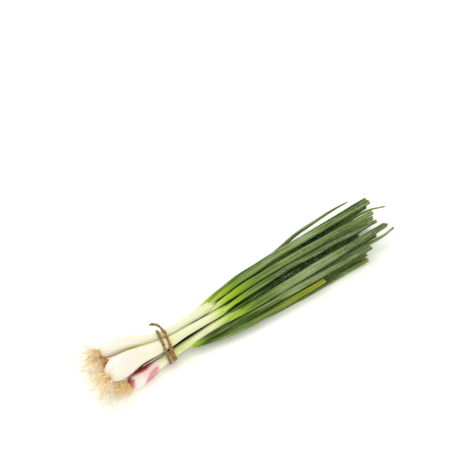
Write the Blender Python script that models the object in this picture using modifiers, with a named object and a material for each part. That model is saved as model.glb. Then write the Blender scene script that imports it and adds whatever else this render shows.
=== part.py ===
"""A hand-tied bunch of four young spring onions, lying on its side with its leaves trimmed.

Metres, +Z up, and the surface that it lies on is Z = 0. Lengths below are in millimetres and MM turns
them into metres. They are measured from the tie, which stands over X = 0, Y = 0: the roots are towards
-X and the leaf tips towards +X. At the end the whole bunch is moved so that the bottom centre of its box
is the origin.
"""

import math
import random

import bmesh
import bpy
from mathutils import Vector

MM = 0.001
GAP = 0.3  # clearance between pieces that touch
BUNCH_MIDDLE = (99.8, 8.2)  # middle of the bunch's box, measured from the tie

BULB_SIDES = 14
RINGS_PER_SPAN = 2  # rings between two stations of an onion's axis
SHARP_EDGE = 50.0  # degrees between faces from which their edge stays sharp

LEAF_SIDES = 8
LEAF_RINGS = 10
POINTED_LEAF_RINGS = 14
LEAF_WALL = 0.75
LEAF_WIDENING = 48.0  # length over which a leaf opens from its sheath to its full width
LEAF_START_HALF_WIDTH = 1.85  # half a leaf's width and height where it leaves its sheath
LEAF_START_HALF_HEIGHT = 1.7
LEAF_NARROWING = 0.34  # share of its width that a cut leaf loses towards its end
NARROWING_START = 0.45  # the part of its length after which it narrows
NARROWING_POWER = 1.3
CUT_SLANT = 0.55  # how far a slanting cut runs back for each unit across it
POINT_TAPER = 0.55  # power of the distance to a pointed leaf's tip that its width follows
POINT_HALF_WIDTH = 0.55
POINT_HALF_HEIGHT = 0.45

ROOTS_PER_TUFT = 24
ROOT_RADIUS = 0.58
ROOT_TIP_SHARE = 0.65  # a root's thickness at its tip, as a share of that at the plate
ROOT_SPANS = 4
ROOT_LENGTHS = (12.0, 24.0)
ROOT_SPREAD = (5.0, 80.0)  # degrees between a root's first direction and the bulb's axis
ROOT_WANDER = 0.45  # how much a root turns at each joint
ROOT_SINK = 0.7  # how far a root may turn up, for each unit that it may turn down
ROOT_START = 1.8  # how far from the middle of the plate the roots begin
ROOT_SPACING = 2.4  # least distance between two onions' roots
ROOT_LOWEST = 1.6
ROOT_SEED = 11
PLATE_RADIUS = 3.6  # the round plate at the bulb's base that the roots grow from
PLATE_DEPTH = 2.0
PLATE_SIDES = 10

TWINE_RADIUS = 1.3
TWINE_FRONT = 125.0  # degrees round the stems from +Y over +Z: the middle of the strand's open side
TWINE_TURNS = (3.0, -3.5)  # where the first and the second turn pass, along the stems
TWINE_LEANS = (2.0, -4.6)  # how far the turns lean along the stems over the top and in front
TWINE_START, TWINE_STOP = 60.0, 655.0  # degrees round the stems at which the two turns begin and end
TWINE_STEPS = 60
CROSSING_START, CROSSING_LENGTH = 225.0, 160.0  # where the first turn passes over into the second
LOOSE_END = [(-9.4, 9.2), (-5.6, 8.6), (-2.4, 6.4), (-0.8, 3.4), (-0.1, 1.0)]  # along, off the stems
LOOSE_END_FROM, LOOSE_END_TO = 44.0, 47.0  # degrees round the stems at its tip and where it lands
TAIL_START, TAIL_LENGTH = 136.0, 104.0  # degrees round the stems that the tail takes up
TAIL_STEPS = 12
TAIL_OFFSETS = (1.2, -3.5)  # the tail's place beside the first turn, and how far it moves off it
TAIL_LIFT = 1.3  # how high the tail passes over the first turn

# Each look is a colour and a roughness.
PALE_SKIN = ((0.90, 0.88, 0.74), 0.35)
PINK_SKIN = ((0.80, 0.42, 0.46), 0.35)
GREEN_LEAF = ((0.20, 0.36, 0.12), 0.45)
DRY_ROOT = ((0.74, 0.52, 0.26), 0.70)
BROWN_TWINE = ((0.26, 0.15, 0.07), 0.85)

# Each onion's axis from its basal plate to the top of its stem: x, y, z, half width, half height.
# A lies at the back, B on top in the middle, C is the small one in front and D lies underneath.
ONION_AXES = {
    "a": [
        (-57.0, 28.4, 19.4, 4.8, 4.8),
        (-53.0, 28.0, 19.5, 6.8, 6.8),
        (-45.0, 26.8, 19.9, 7.8, 7.8),
        (-31.0, 22.8, 20.2, 7.2, 7.2),
        (-19.0, 16.2, 20.4, 5.8, 5.8),
        (-8.0, 10.6, 20.6, 4.9, 4.9),
        (4.0, 8.4, 20.6, 4.7, 4.7),
        (28.0, 8.1, 20.3, 4.5, 4.4),
        (52.0, 9.8, 19.9, 6.2, 4.3),
    ],
    "b": [
        (-69.7, -3.2, 25.2, 2.6, 2.6),
        (-68.2, -2.9, 25.2, 6.0, 6.0),
        (-63.5, -2.0, 25.2, 9.5, 9.5),
        (-55.5, -0.7, 25.2, 11.5, 11.5),
        (-43.0, 0.2, 24.7, 10.4, 10.4),
        (-30.0, 0.2, 23.7, 8.2, 8.2),
        (-15.0, -1.0, 22.2, 6.9, 6.9),
        (2.0, -2.2, 21.3, 5.2, 5.2),
        (20.0, -2.0, 21.4, 4.2, 4.2),
        (44.0, -2.6, 21.8, 3.9, 3.9),
        (60.0, -3.2, 22.0, 3.7, 3.7),
    ],
    "c": [
        (-52.0, -11.6, 6.6, 4.8, 4.8),
        (-48.5, -11.4, 6.6, 6.5, 6.5),
        (-40.0, -11.1, 6.7, 7.2, 7.2),
        (-29.0, -10.2, 6.9, 6.4, 6.4),
        (-17.0, -8.7, 8.0, 5.1, 5.1),
        (0.0, -7.8, 9.9, 4.6, 4.6),
        (12.0, -7.5, 11.0, 4.4, 4.4),
        (26.0, -7.6, 12.4, 4.2, 4.2),
        (44.0, -7.8, 14.2, 4.1, 4.1),
        (60.0, -8.7, 15.5, 4.1, 4.1),
    ],
    "d": [
        (-52.5, 20.0, 8.2, 4.0, 4.0),
        (-49.5, 18.5, 8.3, 6.2, 6.2),
        (-42.0, 14.0, 7.9, 8.5, 8.5),
        (-31.0, 7.6, 7.9, 7.5, 7.5),
        (-21.0, 3.8, 8.8, 6.4, 6.4),
        (-8.0, 2.6, 9.5, 5.5, 5.5),
        (6.0, 3.0, 9.8, 5.1, 5.1),
        (28.0, 3.4, 9.6, 4.9, 4.7),
        (50.0, 3.5, 9.4, 6.2, 4.4),
    ],
}

# Each leaf: its full width and height, the roll of its flat side from level at its root and at its end,
# how it ends (cut square, cut slanting or pointed), and the points that its middle line runs through.
LEAVES = {
    "leaf_a1": (6.6, 4.0, 0, 12, "square",
                [(52.9, 14.0, 22.0), (75, 19.8, 18.4), (113, 27.2, 14.2), (160, 29.2, 13.0),
                 (193, 28.8, 13.6), (282, 28.7, 17.0)]),
    "leaf_a2": (7.2, 4.4, 4, 26, "square",
                [(52.9, 9.8, 22.1), (80, 15.8, 21.0), (108, 18.8, 20.8), (154, 22.0, 20.4),
                 (277, 19.8, 22.8)]),
    "leaf_a3": (7.6, 4.4, 8, 18, "square",
                [(52.9, 5.6, 20.0), (78, 7.0, 21.2), (105, 8.0, 22.2), (149, 8.0, 22.8), (267, 4.0, 25.5)]),
    "leaf_a4": (6.8, 4.0, 4, 8, "slant",
                [(52.9, 9.8, 17.7), (110, 17.6, 15.6), (156, 20.0, 15.0), (274, 20.2, 17.2)]),
    "leaf_a5": (5.6, 3.4, 0, 8, "point",
                [(52.9, 14.0, 17.9), (115, 26.5, 9.5), (160, 34.2, 8.0), (199, 41.0, 9.0), (235, 42.4, 10.2),
                 (268, 41.3, 12.0)]),
    "leaf_b1": (5.6, 4.8, 0, -12, "square",
                [(60.9, -4.2, 23.4), (102, -1.6, 23.4), (146, -1.0, 23.8), (261, -8.2, 26.0)]),
    "leaf_b2": (6.2, 4.2, 0, 0, "square",
                [(60.9, -3.6, 19.2), (80, -2.0, 15.8), (104, 0.5, 15.8), (149, 1.0, 16.2),
                 (244, -3.6, 19.0)]),
    "leaf_b3": (6.8, 4.2, 0, 6, "slant",
                [(60.9, -0.5, 21.5), (80, 3.2, 16.9), (107, 8.0, 15.4), (153, 10.2, 14.4), (268, 5.2, 17.4)]),
    "leaf_c1": (8.8, 4.8, 6, 24, "slant",
                [(60.9, -9.8, 13.8), (85, -12.6, 17.0), (112, -13.2, 18.4), (144, -14.0, 19.4),
                 (268, -16, 23)]),
    "leaf_c2": (7.6, 4.4, 10, 20, "square",
                [(27, -14.0, 11.6), (42, -15.4, 12.6), (69, -18.4, 13.7), (144, -20.0, 14.0),
                 (240, -25.2, 15)]),
    "leaf_c3": (7.0, 3.8, 14, 14, "slant",
                [(27, -13.0, 7.4), (42, -17.2, 7.8), (70, -22.0, 8.0), (101, -24.0, 8.4),
                 (175, -27.2, 10.4)]),
    "leaf_c4": (7.4, 3.9, 6, 0, "square",
                [(27, -8.9, 5.5), (72, -17.0, 4.0), (104, -20.0, 2.8), (150, -24.0, 1.9), (180, -25.4, 1.8),
                 (233, -28.8, 3.6)]),
    "leaf_c5": (5.6, 4.2, 0, 6, "square",
                [(60.9, -7.4, 17.6), (102, -5.9, 18.6), (147, -5.0, 19.2), (237, -8.4, 20.6)]),
    "leaf_d1": (6.8, 4.2, 0, 6, "slant",
                [(50.9, 3.5, 11.5), (88, -1.4, 11.2), (112, -4.8, 11.6), (148, -7.6, 12.0),
                 (257, -13.2, 13.8)]),
    "leaf_d2": (6.2, 4.0, 0, 0, "point",
                [(50.9, -0.6, 11.3), (80, -5.6, 8.8), (105, -9.2, 8.0), (149, -12.4, 7.8),
                 (240, -18.2, 9.0), (264, -18.0, 9.8), (280, -16.4, 11.0)]),
    "leaf_d3": (6.4, 3.8, 0, 0, "square",
                [(50.9, -0.6, 7.5), (76, -4.8, 4.3), (106, -10.6, 3.2), (150, -16.0, 2.5),
                 (236, -21.4, 4.6)]),
    "leaf_d4": (6.4, 3.8, 0, 0, "point",
                [(50.9, 7.6, 9.4), (111, 13.9, 9.2), (158, 19.5, 8.4), (228, 21.0, 9.6), (276, 18.2, 11.5),
                 (293, 11.2, 13.0)]),
    "leaf_d5": (7.4, 4.2, 0, 0, "square",
                [(50.9, 3.5, 7.2), (111, 7.6, 4.6), (158, 10.2, 1.9), (190, 10.2, 1.9), (266, 6.8, 5.6)]),
}

def clear_scene():
    for thing in list(bpy.data.objects):
        bpy.data.objects.remove(thing, do_unlink=True)


def new_collection(name):
    collection = bpy.data.collections.new(name)
    bpy.context.scene.collection.children.link(collection)
    return collection


def material(name, look):
    """A Principled material with one colour, for the object that carries the same name."""
    colour, roughness = look
    made = bpy.data.materials.new(name)
    made.use_nodes = True
    shader = made.node_tree.nodes["Principled BSDF"]
    shader.inputs["Base Color"].default_value = (*colour, 1.0)
    shader.inputs["Roughness"].default_value = roughness
    shader.inputs["Metallic"].default_value = 0.0
    return made


def add_part(name, mesh, collection, look):
    mesh.name = name
    part = bpy.data.objects.new(name, mesh)
    part.data.materials.clear()
    part.data.materials.append(material(name, look))
    collection.objects.link(part)
    mesh.shade_smooth()
    mesh.set_sharp_from_angle(angle=math.radians(SHARP_EDGE))
    return part


def catmull_rom(stations, spans):
    """Rows between the given rows, on the curve that passes through every one of them."""
    padded = [stations[0], *stations, stations[-1]]
    rows = []
    for i in range(1, len(stations)):
        before, start, end, after = padded[i - 1:i + 3]
        for k in range(spans):
            t = k / spans
            rows.append(tuple(
                0.5 * (2 * q + (r - p) * t + (2 * p - 5 * q + 4 * r - s) * t * t
                       + (3 * q - p - 3 * r + s) * t ** 3)
                for p, q, r, s in zip(before, start, end, after)))
    rows.append(tuple(stations[-1]))
    return rows


def section(centre, direction, half_width, half_height, roll, sides, slant=0.0):
    """One oval ring across a path: level when roll is 0, and leaning along the path when slanted."""
    across = Vector((0, 0, 1)).cross(direction).normalized()
    above = direction.cross(across).normalized()
    ring = []
    for k in range(sides):
        angle = 2 * math.pi * k / sides
        u = half_width * math.cos(angle)
        v = half_height * math.sin(angle)
        side = u * math.cos(roll) - v * math.sin(roll)
        rise = u * math.sin(roll) + v * math.cos(roll)
        ring.append(centre + across * side + above * rise + direction * (slant * u))
    return ring


def loft(rings, cap_start, cap_end):
    """A skin over rings of equal count, pressed flat where it meets the surface below, in metres."""
    shape = bmesh.new()
    rows = [[shape.verts.new((p.x * MM, p.y * MM, max(p.z, 0.0) * MM)) for p in ring] for ring in rings]
    count = len(rows[0])
    for near, far in zip(rows, rows[1:]):
        for k in range(count):
            shape.faces.new((near[k], near[(k + 1) % count], far[(k + 1) % count], far[k]))
    if cap_start:
        shape.faces.new(rows[0][::-1])
    if cap_end:
        shape.faces.new(rows[-1])
    bmesh.ops.recalc_face_normals(shape, faces=shape.faces)
    mesh = bpy.data.meshes.new("loft")
    shape.to_mesh(mesh)
    shape.free()
    return mesh


def directions(points):
    """The direction of a path at each of its points, from the two points beside it."""
    ends = [points[0], *points, points[-1]]
    return [(ends[i + 2] - ends[i]).normalized() for i in range(len(points))]


def make_onion(key, collection):
    """One bulb drawn out into its stem, round at the bulb and flat and wide where its leaves part."""
    rows = catmull_rom(ONION_AXES[key], RINGS_PER_SPAN)
    centres = [Vector(row[:3]) for row in rows]
    rings = [
        section(centre, way, row[3], row[4], 0.0, BULB_SIDES)
        for centre, way, row in zip(centres, directions(centres), rows)
    ]
    look = PINK_SKIN if key == "c" else PALE_SKIN
    return add_part(f"onion_{key}", loft(rings, True, True), collection, look)


def leaf_half_sizes(along, length, width, height, ending):
    """Half width and height of a leaf at a fraction of its length: it opens, runs on and narrows."""
    opened = min(1.0, along * length / LEAF_WIDENING)
    opened = opened * opened * (3 - 2 * opened)
    if ending == "point":
        narrowed = (1.0 - along) ** POINT_TAPER
        least = (POINT_HALF_WIDTH, POINT_HALF_HEIGHT)
    else:
        past = max(0.0, (along - NARROWING_START) / (1.0 - NARROWING_START))
        narrowed = 1.0 - LEAF_NARROWING * past ** NARROWING_POWER
        least = (0.0, 0.0)
    half_width = LEAF_START_HALF_WIDTH + (0.5 * width - LEAF_START_HALF_WIDTH) * opened
    half_height = LEAF_START_HALF_HEIGHT + (0.5 * height - LEAF_START_HALF_HEIGHT) * opened
    return max(half_width * narrowed, least[0]), max(half_height * narrowed, least[1])


def leaf_path(stations, count):
    """Points at even steps in x on the smooth line through a leaf's stations, whose slope at each
    station is that between its two neighbours."""
    slopes = []
    for i in range(len(stations)):
        before, after = stations[max(i - 1, 0)], stations[min(i + 1, len(stations) - 1)]
        slopes.append([(after[j] - before[j]) / (after[0] - before[0]) for j in (1, 2)])
    points = []
    span = 0
    for k in range(count):
        x = stations[0][0] + (stations[-1][0] - stations[0][0]) * k / (count - 1)
        while span < len(stations) - 2 and x > stations[span + 1][0]:
            span += 1
        near, far = stations[span], stations[span + 1]
        width = far[0] - near[0]
        t = (x - near[0]) / width
        place = [
            (2 * t ** 3 - 3 * t * t + 1) * near[j] + (3 * t * t - 2 * t ** 3) * far[j]
            + width * (t ** 3 - 2 * t * t + t) * slopes[span][j - 1]
            + width * (t ** 3 - t * t) * slopes[span + 1][j - 1]
            for j in (1, 2)]
        points.append(Vector((x, *place)))
    return points


def make_leaf(name, collection):
    """One leaf: a flattened tube, hollow and open where it was cut, or closed to a thin point."""
    width, height, first_roll, last_roll, ending, stations = LEAVES[name]
    pointed = ending == "point"
    ring_count = POINTED_LEAF_RINGS if pointed else LEAF_RINGS
    points = leaf_path(stations, ring_count)
    length = stations[-1][0] - stations[0][0]
    rings = []
    for k, (point, way) in enumerate(zip(points, directions(points))):
        along = k / (ring_count - 1)
        half_width, half_height = leaf_half_sizes(along, length, width, height, ending)
        roll = math.radians(first_roll + (last_roll - first_roll) * along)
        slant = CUT_SLANT if ending == "slant" and k == ring_count - 1 else 0.0
        rings.append(section(point, way, half_width, half_height, roll, LEAF_SIDES, slant))
    leaf = add_part(name, loft(rings, True, pointed), collection, GREEN_LEAF)
    if not pointed:
        wall = leaf.modifiers.new("leaf wall", "SOLIDIFY")
        wall.thickness = LEAF_WALL * MM
        wall.offset = -1.0
    return leaf


def nearest_on_axes(point, skipped=None):
    """The least clearance from a point to any onion's skin."""
    least = 1000.0
    for key, rows in ONION_CLEARANCE_ROWS.items():
        if key == skipped:
            continue
        for row in rows:
            least = min(least, (point - Vector(row[:3])).length - row[3])
    return least


def draw_root(rng, start, outward):
    """The middle line of one dry root: it leaves the plate outwards and wanders as it goes."""
    tilt = math.radians(rng.uniform(*ROOT_SPREAD))
    turn = rng.uniform(0, 2 * math.pi)
    side = outward.orthogonal().normalized()
    other = outward.cross(side)
    way = outward * math.cos(tilt) + (side * math.cos(turn) + other * math.sin(turn)) * math.sin(tilt)
    step = rng.uniform(*ROOT_LENGTHS) / ROOT_SPANS
    point = start + (way - outward * way.dot(outward)) * ROOT_START
    points = [point.copy()]
    for _ in range(ROOT_SPANS):
        point = point + way * step
        points.append(point.copy())
        turned = Vector((rng.uniform(-1, 1), rng.uniform(-1, 1), rng.uniform(-1, ROOT_SINK)))
        way = way + turned * ROOT_WANDER
        way.normalize()
    return points


def polyline_samples(points):
    return [a.lerp(b, k / 3) for a, b in zip(points, points[1:]) for k in range(1, 4)]


def root_fits(key, points, foreign):
    """True where a root stays above the surface, off every bulb and off the other onions' roots."""
    for i, sample in enumerate(polyline_samples(points)):
        if sample.z < ROOT_LOWEST:
            return False
        own_skin = None if i > 1 else key
        if nearest_on_axes(sample, own_skin) < 2 * ROOT_RADIUS + GAP:
            return False
        for other in foreign:
            if (sample - other).length < ROOT_SPACING:
                return False
    return True


def make_tuft(key, taken, rng, collection):
    """One onion's roots: thin three-sided strands fused to the round plate that they grow from."""
    rows = ONION_CLEARANCE_ROWS[key]
    base = Vector(rows[0][:3])
    outward = (base - Vector(rows[1][:3])).normalized()
    foreign = [sample for name, samples in taken.items() if name != key for sample in samples]
    strands = new_collection(f"strands_{key}")
    bevel = three_sided_outline(strands)
    kept = []
    own = []
    while len(kept) < ROOTS_PER_TUFT:
        start = base + outward * (GAP + 0.5 * PLATE_DEPTH)
        points = draw_root(rng, start, outward)
        if root_fits(key, points, foreign):
            kept.append(points)
            own.extend(polyline_samples(points))
            sweep_root(f"root_{key}_{len(kept):02d}", points, bevel, strands)
    taken[key] = own
    bpy.data.objects.remove(bevel, do_unlink=True)
    shape = bmesh.new()
    bmesh.ops.create_cone(
        shape, cap_ends=True, segments=PLATE_SIDES, radius1=PLATE_RADIUS * MM,
        radius2=0.7 * PLATE_RADIUS * MM, depth=PLATE_DEPTH * MM)
    turn = Vector((0, 0, 1)).rotation_difference(outward).to_matrix()
    middle = (base + outward * (GAP + 0.5 * PLATE_DEPTH)) * MM
    bmesh.ops.rotate(shape, verts=shape.verts, cent=(0, 0, 0), matrix=turn)
    bmesh.ops.translate(shape, verts=shape.verts, vec=middle)
    plate = bpy.data.meshes.new(f"roots_{key}")
    shape.to_mesh(plate)
    shape.free()
    tuft = add_part(f"roots_{key}", plate, collection, DRY_ROOT)
    fuse(tuft, strands)
    return tuft


def three_sided_outline(collection):
    """The cross-section of a root, as a closed curve for the roots' bevel."""
    outline = bpy.data.curves.new("root outline", "CURVE")
    outline.dimensions = "2D"
    spline = outline.splines.new("POLY")
    spline.points.add(2)
    for k, point in enumerate(spline.points):
        angle = 2 * math.pi * k / 3
        point.co = (ROOT_RADIUS * MM * math.cos(angle), ROOT_RADIUS * MM * math.sin(angle), 0, 1)
    spline.use_cyclic_u = True
    bevel = bpy.data.objects.new("root outline", outline)
    bevel.hide_render = True
    bevel.display_type = "WIRE"
    collection.objects.link(bevel)
    return bevel


def sweep_root(name, points, bevel, collection):
    """One root as a closed mesh: a curve swept with the outline, thinner towards its tip."""
    curve = bpy.data.curves.new(name, "CURVE")
    curve.dimensions = "3D"
    curve.bevel_mode = "OBJECT"
    curve.bevel_object = bevel
    curve.use_fill_caps = True
    spline = curve.splines.new("POLY")
    spline.points.add(len(points) - 1)
    for k, (point, place) in enumerate(zip(spline.points, points)):
        point.co = (*(place * MM), 1)
        point.radius = 1.0 - (1.0 - ROOT_TIP_SHARE) * k / (len(points) - 1)
    mesh_from_curve(name, curve, collection)


def mesh_from_curve(name, curve, collection):
    """The curve's own mesh with its caps welded on, in place of the curve."""
    drawn = bpy.data.objects.new(f"{name} line", curve)
    collection.objects.link(drawn)
    evaluated = drawn.evaluated_get(bpy.context.evaluated_depsgraph_get())
    mesh = bpy.data.meshes.new_from_object(evaluated)
    shape = bmesh.new()
    shape.from_mesh(mesh)
    bmesh.ops.remove_doubles(shape, verts=shape.verts, dist=0.00001)
    bmesh.ops.recalc_face_normals(shape, faces=shape.faces)
    shape.to_mesh(mesh)
    shape.free()
    solid = bpy.data.objects.new(name, mesh)
    solid.matrix_world = drawn.matrix_world
    collection.objects.link(solid)
    bpy.data.objects.remove(drawn, do_unlink=True)
    return solid


def fuse(part, collection):
    """Joins every object of the collection to the part in one union, and removes them."""
    union = part.modifiers.new("union", "BOOLEAN")
    union.operation = "UNION"
    union.operand_type = "COLLECTION"
    union.collection = collection
    union.solver = "MANIFOLD"
    evaluated = part.evaluated_get(bpy.context.evaluated_depsgraph_get())
    joined = bpy.data.meshes.new_from_object(evaluated)
    part.modifiers.remove(union)
    joined.name = part.name
    part.data = joined
    for piece in list(collection.objects):
        bpy.data.objects.remove(piece, do_unlink=True)
    bpy.data.collections.remove(collection)


def stem_circles(x):
    """The stems' cross-sections at x under the tie: middle y and z, and radius."""
    circles = []
    for rows in ONION_CLEARANCE_ROWS.values():
        for near, far in zip(rows, rows[1:]):
            if near[0] <= x < far[0]:
                part = (x - near[0]) / (far[0] - near[0])
                y, z, radius = (near[i] + (far[i] - near[i]) * part for i in (1, 2, 3))
                circles.append((y, z, radius))
    return circles


def reach(x, angle):
    """How far the tight outline round the stems stands off its middle, in a direction from it."""
    circles = stem_circles(x)
    middle_y = sum(c[0] for c in circles) / len(circles)
    middle_z = sum(c[1] for c in circles) / len(circles)
    least = 1000.0
    for k in range(180):
        normal = 2 * math.pi * k / 180
        facing = math.cos(normal - angle)
        if facing < 0.15:
            continue
        support = max(
            (y - middle_y) * math.cos(normal) + (z - middle_z) * math.sin(normal) + radius
            for y, z, radius in circles)
        least = min(least, support / facing)
    return middle_y, middle_z, least


def twine_place(x, degrees, lift):
    """A point on the tight outline round the stems at x, raised by the strand's radius and a lift."""
    angle = math.radians(degrees)
    middle_y, middle_z, distance = reach(x, angle)
    distance += TWINE_RADIUS + 2 * GAP + lift
    return Vector((x, middle_y + distance * math.cos(angle), middle_z + distance * math.sin(angle)))


def twine_lean(degrees):
    """How far the tilted turns run along the stems: towards the bulbs in front, back on the far side."""
    front = math.cos(math.radians(degrees - TWINE_FRONT))
    top = math.cos(math.radians(degrees - TWINE_FRONT + 90))
    return TWINE_LEANS[0] * top + TWINE_LEANS[1] * front


def twine_points():
    """The strand's middle line: a loose end that stands off, then two turns side by side."""
    first, second = TWINE_TURNS
    top_x = first + twine_lean(TWINE_START)
    turned_back = (LOOSE_END_TO - LOOSE_END_FROM) / LOOSE_END[0][1]
    points = [
        twine_place(top_x + along, LOOSE_END_TO - turned_back * lift, lift)
        for along, lift in LOOSE_END
    ]
    for k in range(TWINE_STEPS + 1):
        degrees = TWINE_START + (TWINE_STOP - TWINE_START) * k / TWINE_STEPS
        moved = min(1.0, max(0.0, (degrees - CROSSING_START) / CROSSING_LENGTH))
        moved = moved * moved * (3 - 2 * moved)
        x = first + (second - first) * moved + twine_lean(degrees)
        points.append(twine_place(x, degrees % 360.0, 0.0))
    return points


def twine_tail_points():
    """The strand's other end: it comes over the first turn in front and lies beside it underneath."""
    points = []
    for k in range(TAIL_STEPS + 1):
        degrees = TAIL_START + TAIL_LENGTH * k / TAIL_STEPS
        passed = min(1.0, k / 3)
        lift = TAIL_LIFT * math.sin(math.pi * min(1.0, k / 4))
        x = TWINE_TURNS[0] + twine_lean(degrees) + TAIL_OFFSETS[0] + TAIL_OFFSETS[1] * passed
        points.append(twine_place(x, degrees, lift))
    return points


def strand(name, points, collection):
    """A length of twine as a round closed mesh."""
    curve = bpy.data.curves.new(name, "CURVE")
    curve.dimensions = "3D"
    curve.bevel_depth = TWINE_RADIUS * MM
    curve.bevel_resolution = 2
    curve.use_fill_caps = True
    spline = curve.splines.new("POLY")
    spline.points.add(len(points) - 1)
    for point, place in zip(spline.points, points):
        point.co = (*(place * MM), 1)
    return mesh_from_curve(name, curve, collection)


def make_twine(collection):
    """The tie: one rough strand wound twice round the four stems, its tail fused to the first turn."""
    tails = new_collection("twine_tail")
    strand("tail", twine_tail_points(), tails)
    turns = strand("turns", twine_points(), collection)
    mesh = turns.data
    bpy.data.objects.remove(turns, do_unlink=True)
    twine = add_part("twine", mesh, collection, BROWN_TWINE)
    fuse(twine, tails)
    return twine


def centre_bunch(collection):
    """Moves every mesh so that the middle of the bunch's box stands over the origin."""
    for part in collection.objects:
        for vertex in part.data.vertices:
            vertex.co.x -= BUNCH_MIDDLE[0] * MM
            vertex.co.y -= BUNCH_MIDDLE[1] * MM


clear_scene()
ONION_CLEARANCE_ROWS = {key: catmull_rom(axis, RINGS_PER_SPAN) for key, axis in ONION_AXES.items()}
bunch = new_collection("spring_onion_bunch")
for onion in ONION_AXES:
    make_onion(onion, bunch)
for leaf_name in LEAVES:
    make_leaf(leaf_name, bunch)
root_rng = random.Random(ROOT_SEED)
root_samples = {}
for onion in ONION_AXES:
    make_tuft(onion, root_samples, root_rng, bunch)
make_twine(bunch)
centre_bunch(bunch)
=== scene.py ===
import math

import bpy
import numpy as np
from mathutils import Matrix, Vector


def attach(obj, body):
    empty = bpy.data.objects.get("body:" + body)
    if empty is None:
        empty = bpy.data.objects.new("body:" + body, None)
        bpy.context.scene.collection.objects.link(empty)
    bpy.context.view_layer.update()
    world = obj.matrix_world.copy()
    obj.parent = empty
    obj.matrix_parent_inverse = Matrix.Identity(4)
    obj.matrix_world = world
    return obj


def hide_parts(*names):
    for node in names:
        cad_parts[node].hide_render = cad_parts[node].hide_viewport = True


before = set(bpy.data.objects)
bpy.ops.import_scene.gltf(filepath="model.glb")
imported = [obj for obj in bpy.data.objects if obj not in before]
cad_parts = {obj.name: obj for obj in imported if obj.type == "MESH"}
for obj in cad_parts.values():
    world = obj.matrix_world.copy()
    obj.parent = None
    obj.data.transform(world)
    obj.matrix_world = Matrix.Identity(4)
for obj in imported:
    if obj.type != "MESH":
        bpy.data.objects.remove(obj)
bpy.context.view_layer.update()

# The view. The bunch lies across the picture with its roots near and to the left, and the camera looks
# down on it from the side of the bulbs with a long lens.
MM = 0.001
CAMERA_AIM = Vector((51.0, 74.3, 0.0)) * MM
CAMERA_AZIMUTH = math.radians(-38.5)
CAMERA_ELEVATION = math.radians(46.0)
CAMERA_DISTANCE = 1421.6 * MM
CAMERA_LENS = 103.67  # focal length in mm, before a sensor 36 mm wide

towards_camera = Vector((
    math.sin(CAMERA_AZIMUTH) * math.cos(CAMERA_ELEVATION),
    -math.cos(CAMERA_AZIMUTH) * math.cos(CAMERA_ELEVATION),
    math.sin(CAMERA_ELEVATION)))
camera = bpy.data.objects.new("camera", bpy.data.cameras.new("camera"))
camera.data.lens = CAMERA_LENS
camera.data.sensor_width = 36.0
camera.data.clip_end = 20.0
camera.location = CAMERA_AIM + towards_camera * CAMERA_DISTANCE
camera.rotation_euler = towards_camera.to_track_quat("Z", "Y").to_euler()
bpy.context.scene.collection.objects.link(camera)
bpy.context.scene.camera = camera
bpy.context.scene.view_settings.view_transform = "Standard"


# The table: a white laminate sheet that runs well past the view on every side. It is bright enough to
# pass for a paper sweep, and it takes the soft shadow under the leaves.
FLOOR_HALF_SIDE = 3000.0
FLOOR_DROP = 0.05  # keeps the floor just under the pressed spots that touch it


def linear(code, alpha=1.0):
    """An sRGB hex colour as linear light: the sRGB curve's straight foot and its power of 2.4."""
    parts = np.array([int(code[i:i + 2], 16) for i in (1, 3, 5)]) / 255.0
    light = np.where(parts <= 0.04045, parts / 12.92, ((parts + 0.055) / 1.055) ** 2.4)
    return (*light.tolist(), alpha)


def add_node(tree, kind, inputs=(), stops=(), output=0, **settings):
    """Adds a node to a tree and gives the socket of its output. Inputs pair a socket's name or number
    with a value, or with another node's output that feeds it. Stops pair places on a colour ramp with
    hex colours."""
    made = tree.nodes.new(kind)
    for name, value in settings.items():
        setattr(made, name, value)
    for place, code in stops[len(made.color_ramp.elements):] if stops else ():
        made.color_ramp.elements.new(place)
    for k, (place, code) in enumerate(stops):
        made.color_ramp.elements[k].position = place
        made.color_ramp.elements[k].color = linear(code)
    for socket, value in dict(inputs).items():
        if isinstance(value, bpy.types.NodeSocket):
            tree.links.new(value, made.inputs[socket])
        else:
            made.inputs[socket].default_value = value
    return made.outputs[output] if made.outputs else None


def new_material(name):
    """An empty material, and the tree that its nodes go in."""
    material = bpy.data.materials.new(name)
    material.use_nodes = True
    material.node_tree.nodes.clear()
    return material, material.node_tree


def white_laminate():
    """White melamine laminate: smooth and matt, with no pattern of its own."""
    material, tree = new_material("white_laminate")
    # Its faint green-beige tint is painted light: in full light it clips to white, and in the shadows it
    # stands for the green light thrown down by the leaves.
    shader = add_node(tree, "ShaderNodeBsdfPrincipled", {
        "Base Color": linear("#f7f8ef"), "Roughness": 0.75, "Specular IOR Level": 0.2})
    add_node(tree, "ShaderNodeOutputMaterial", {"Surface": shader})
    return material


floor_mesh = bpy.data.meshes.new("floor")
half = FLOOR_HALF_SIDE * MM
floor_mesh.from_pydata(
    [(-half, -half, 0), (half, -half, 0), (half, half, 0), (-half, half, 0)], [], [(0, 1, 2, 3)])
floor_mesh.transform(Matrix.Translation((0, 0, -FLOOR_DROP * MM)))
floor_mesh.materials.append(white_laminate())
floor = bpy.data.objects.new("floor", floor_mesh)
bpy.context.scene.collection.objects.link(floor)


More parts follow.
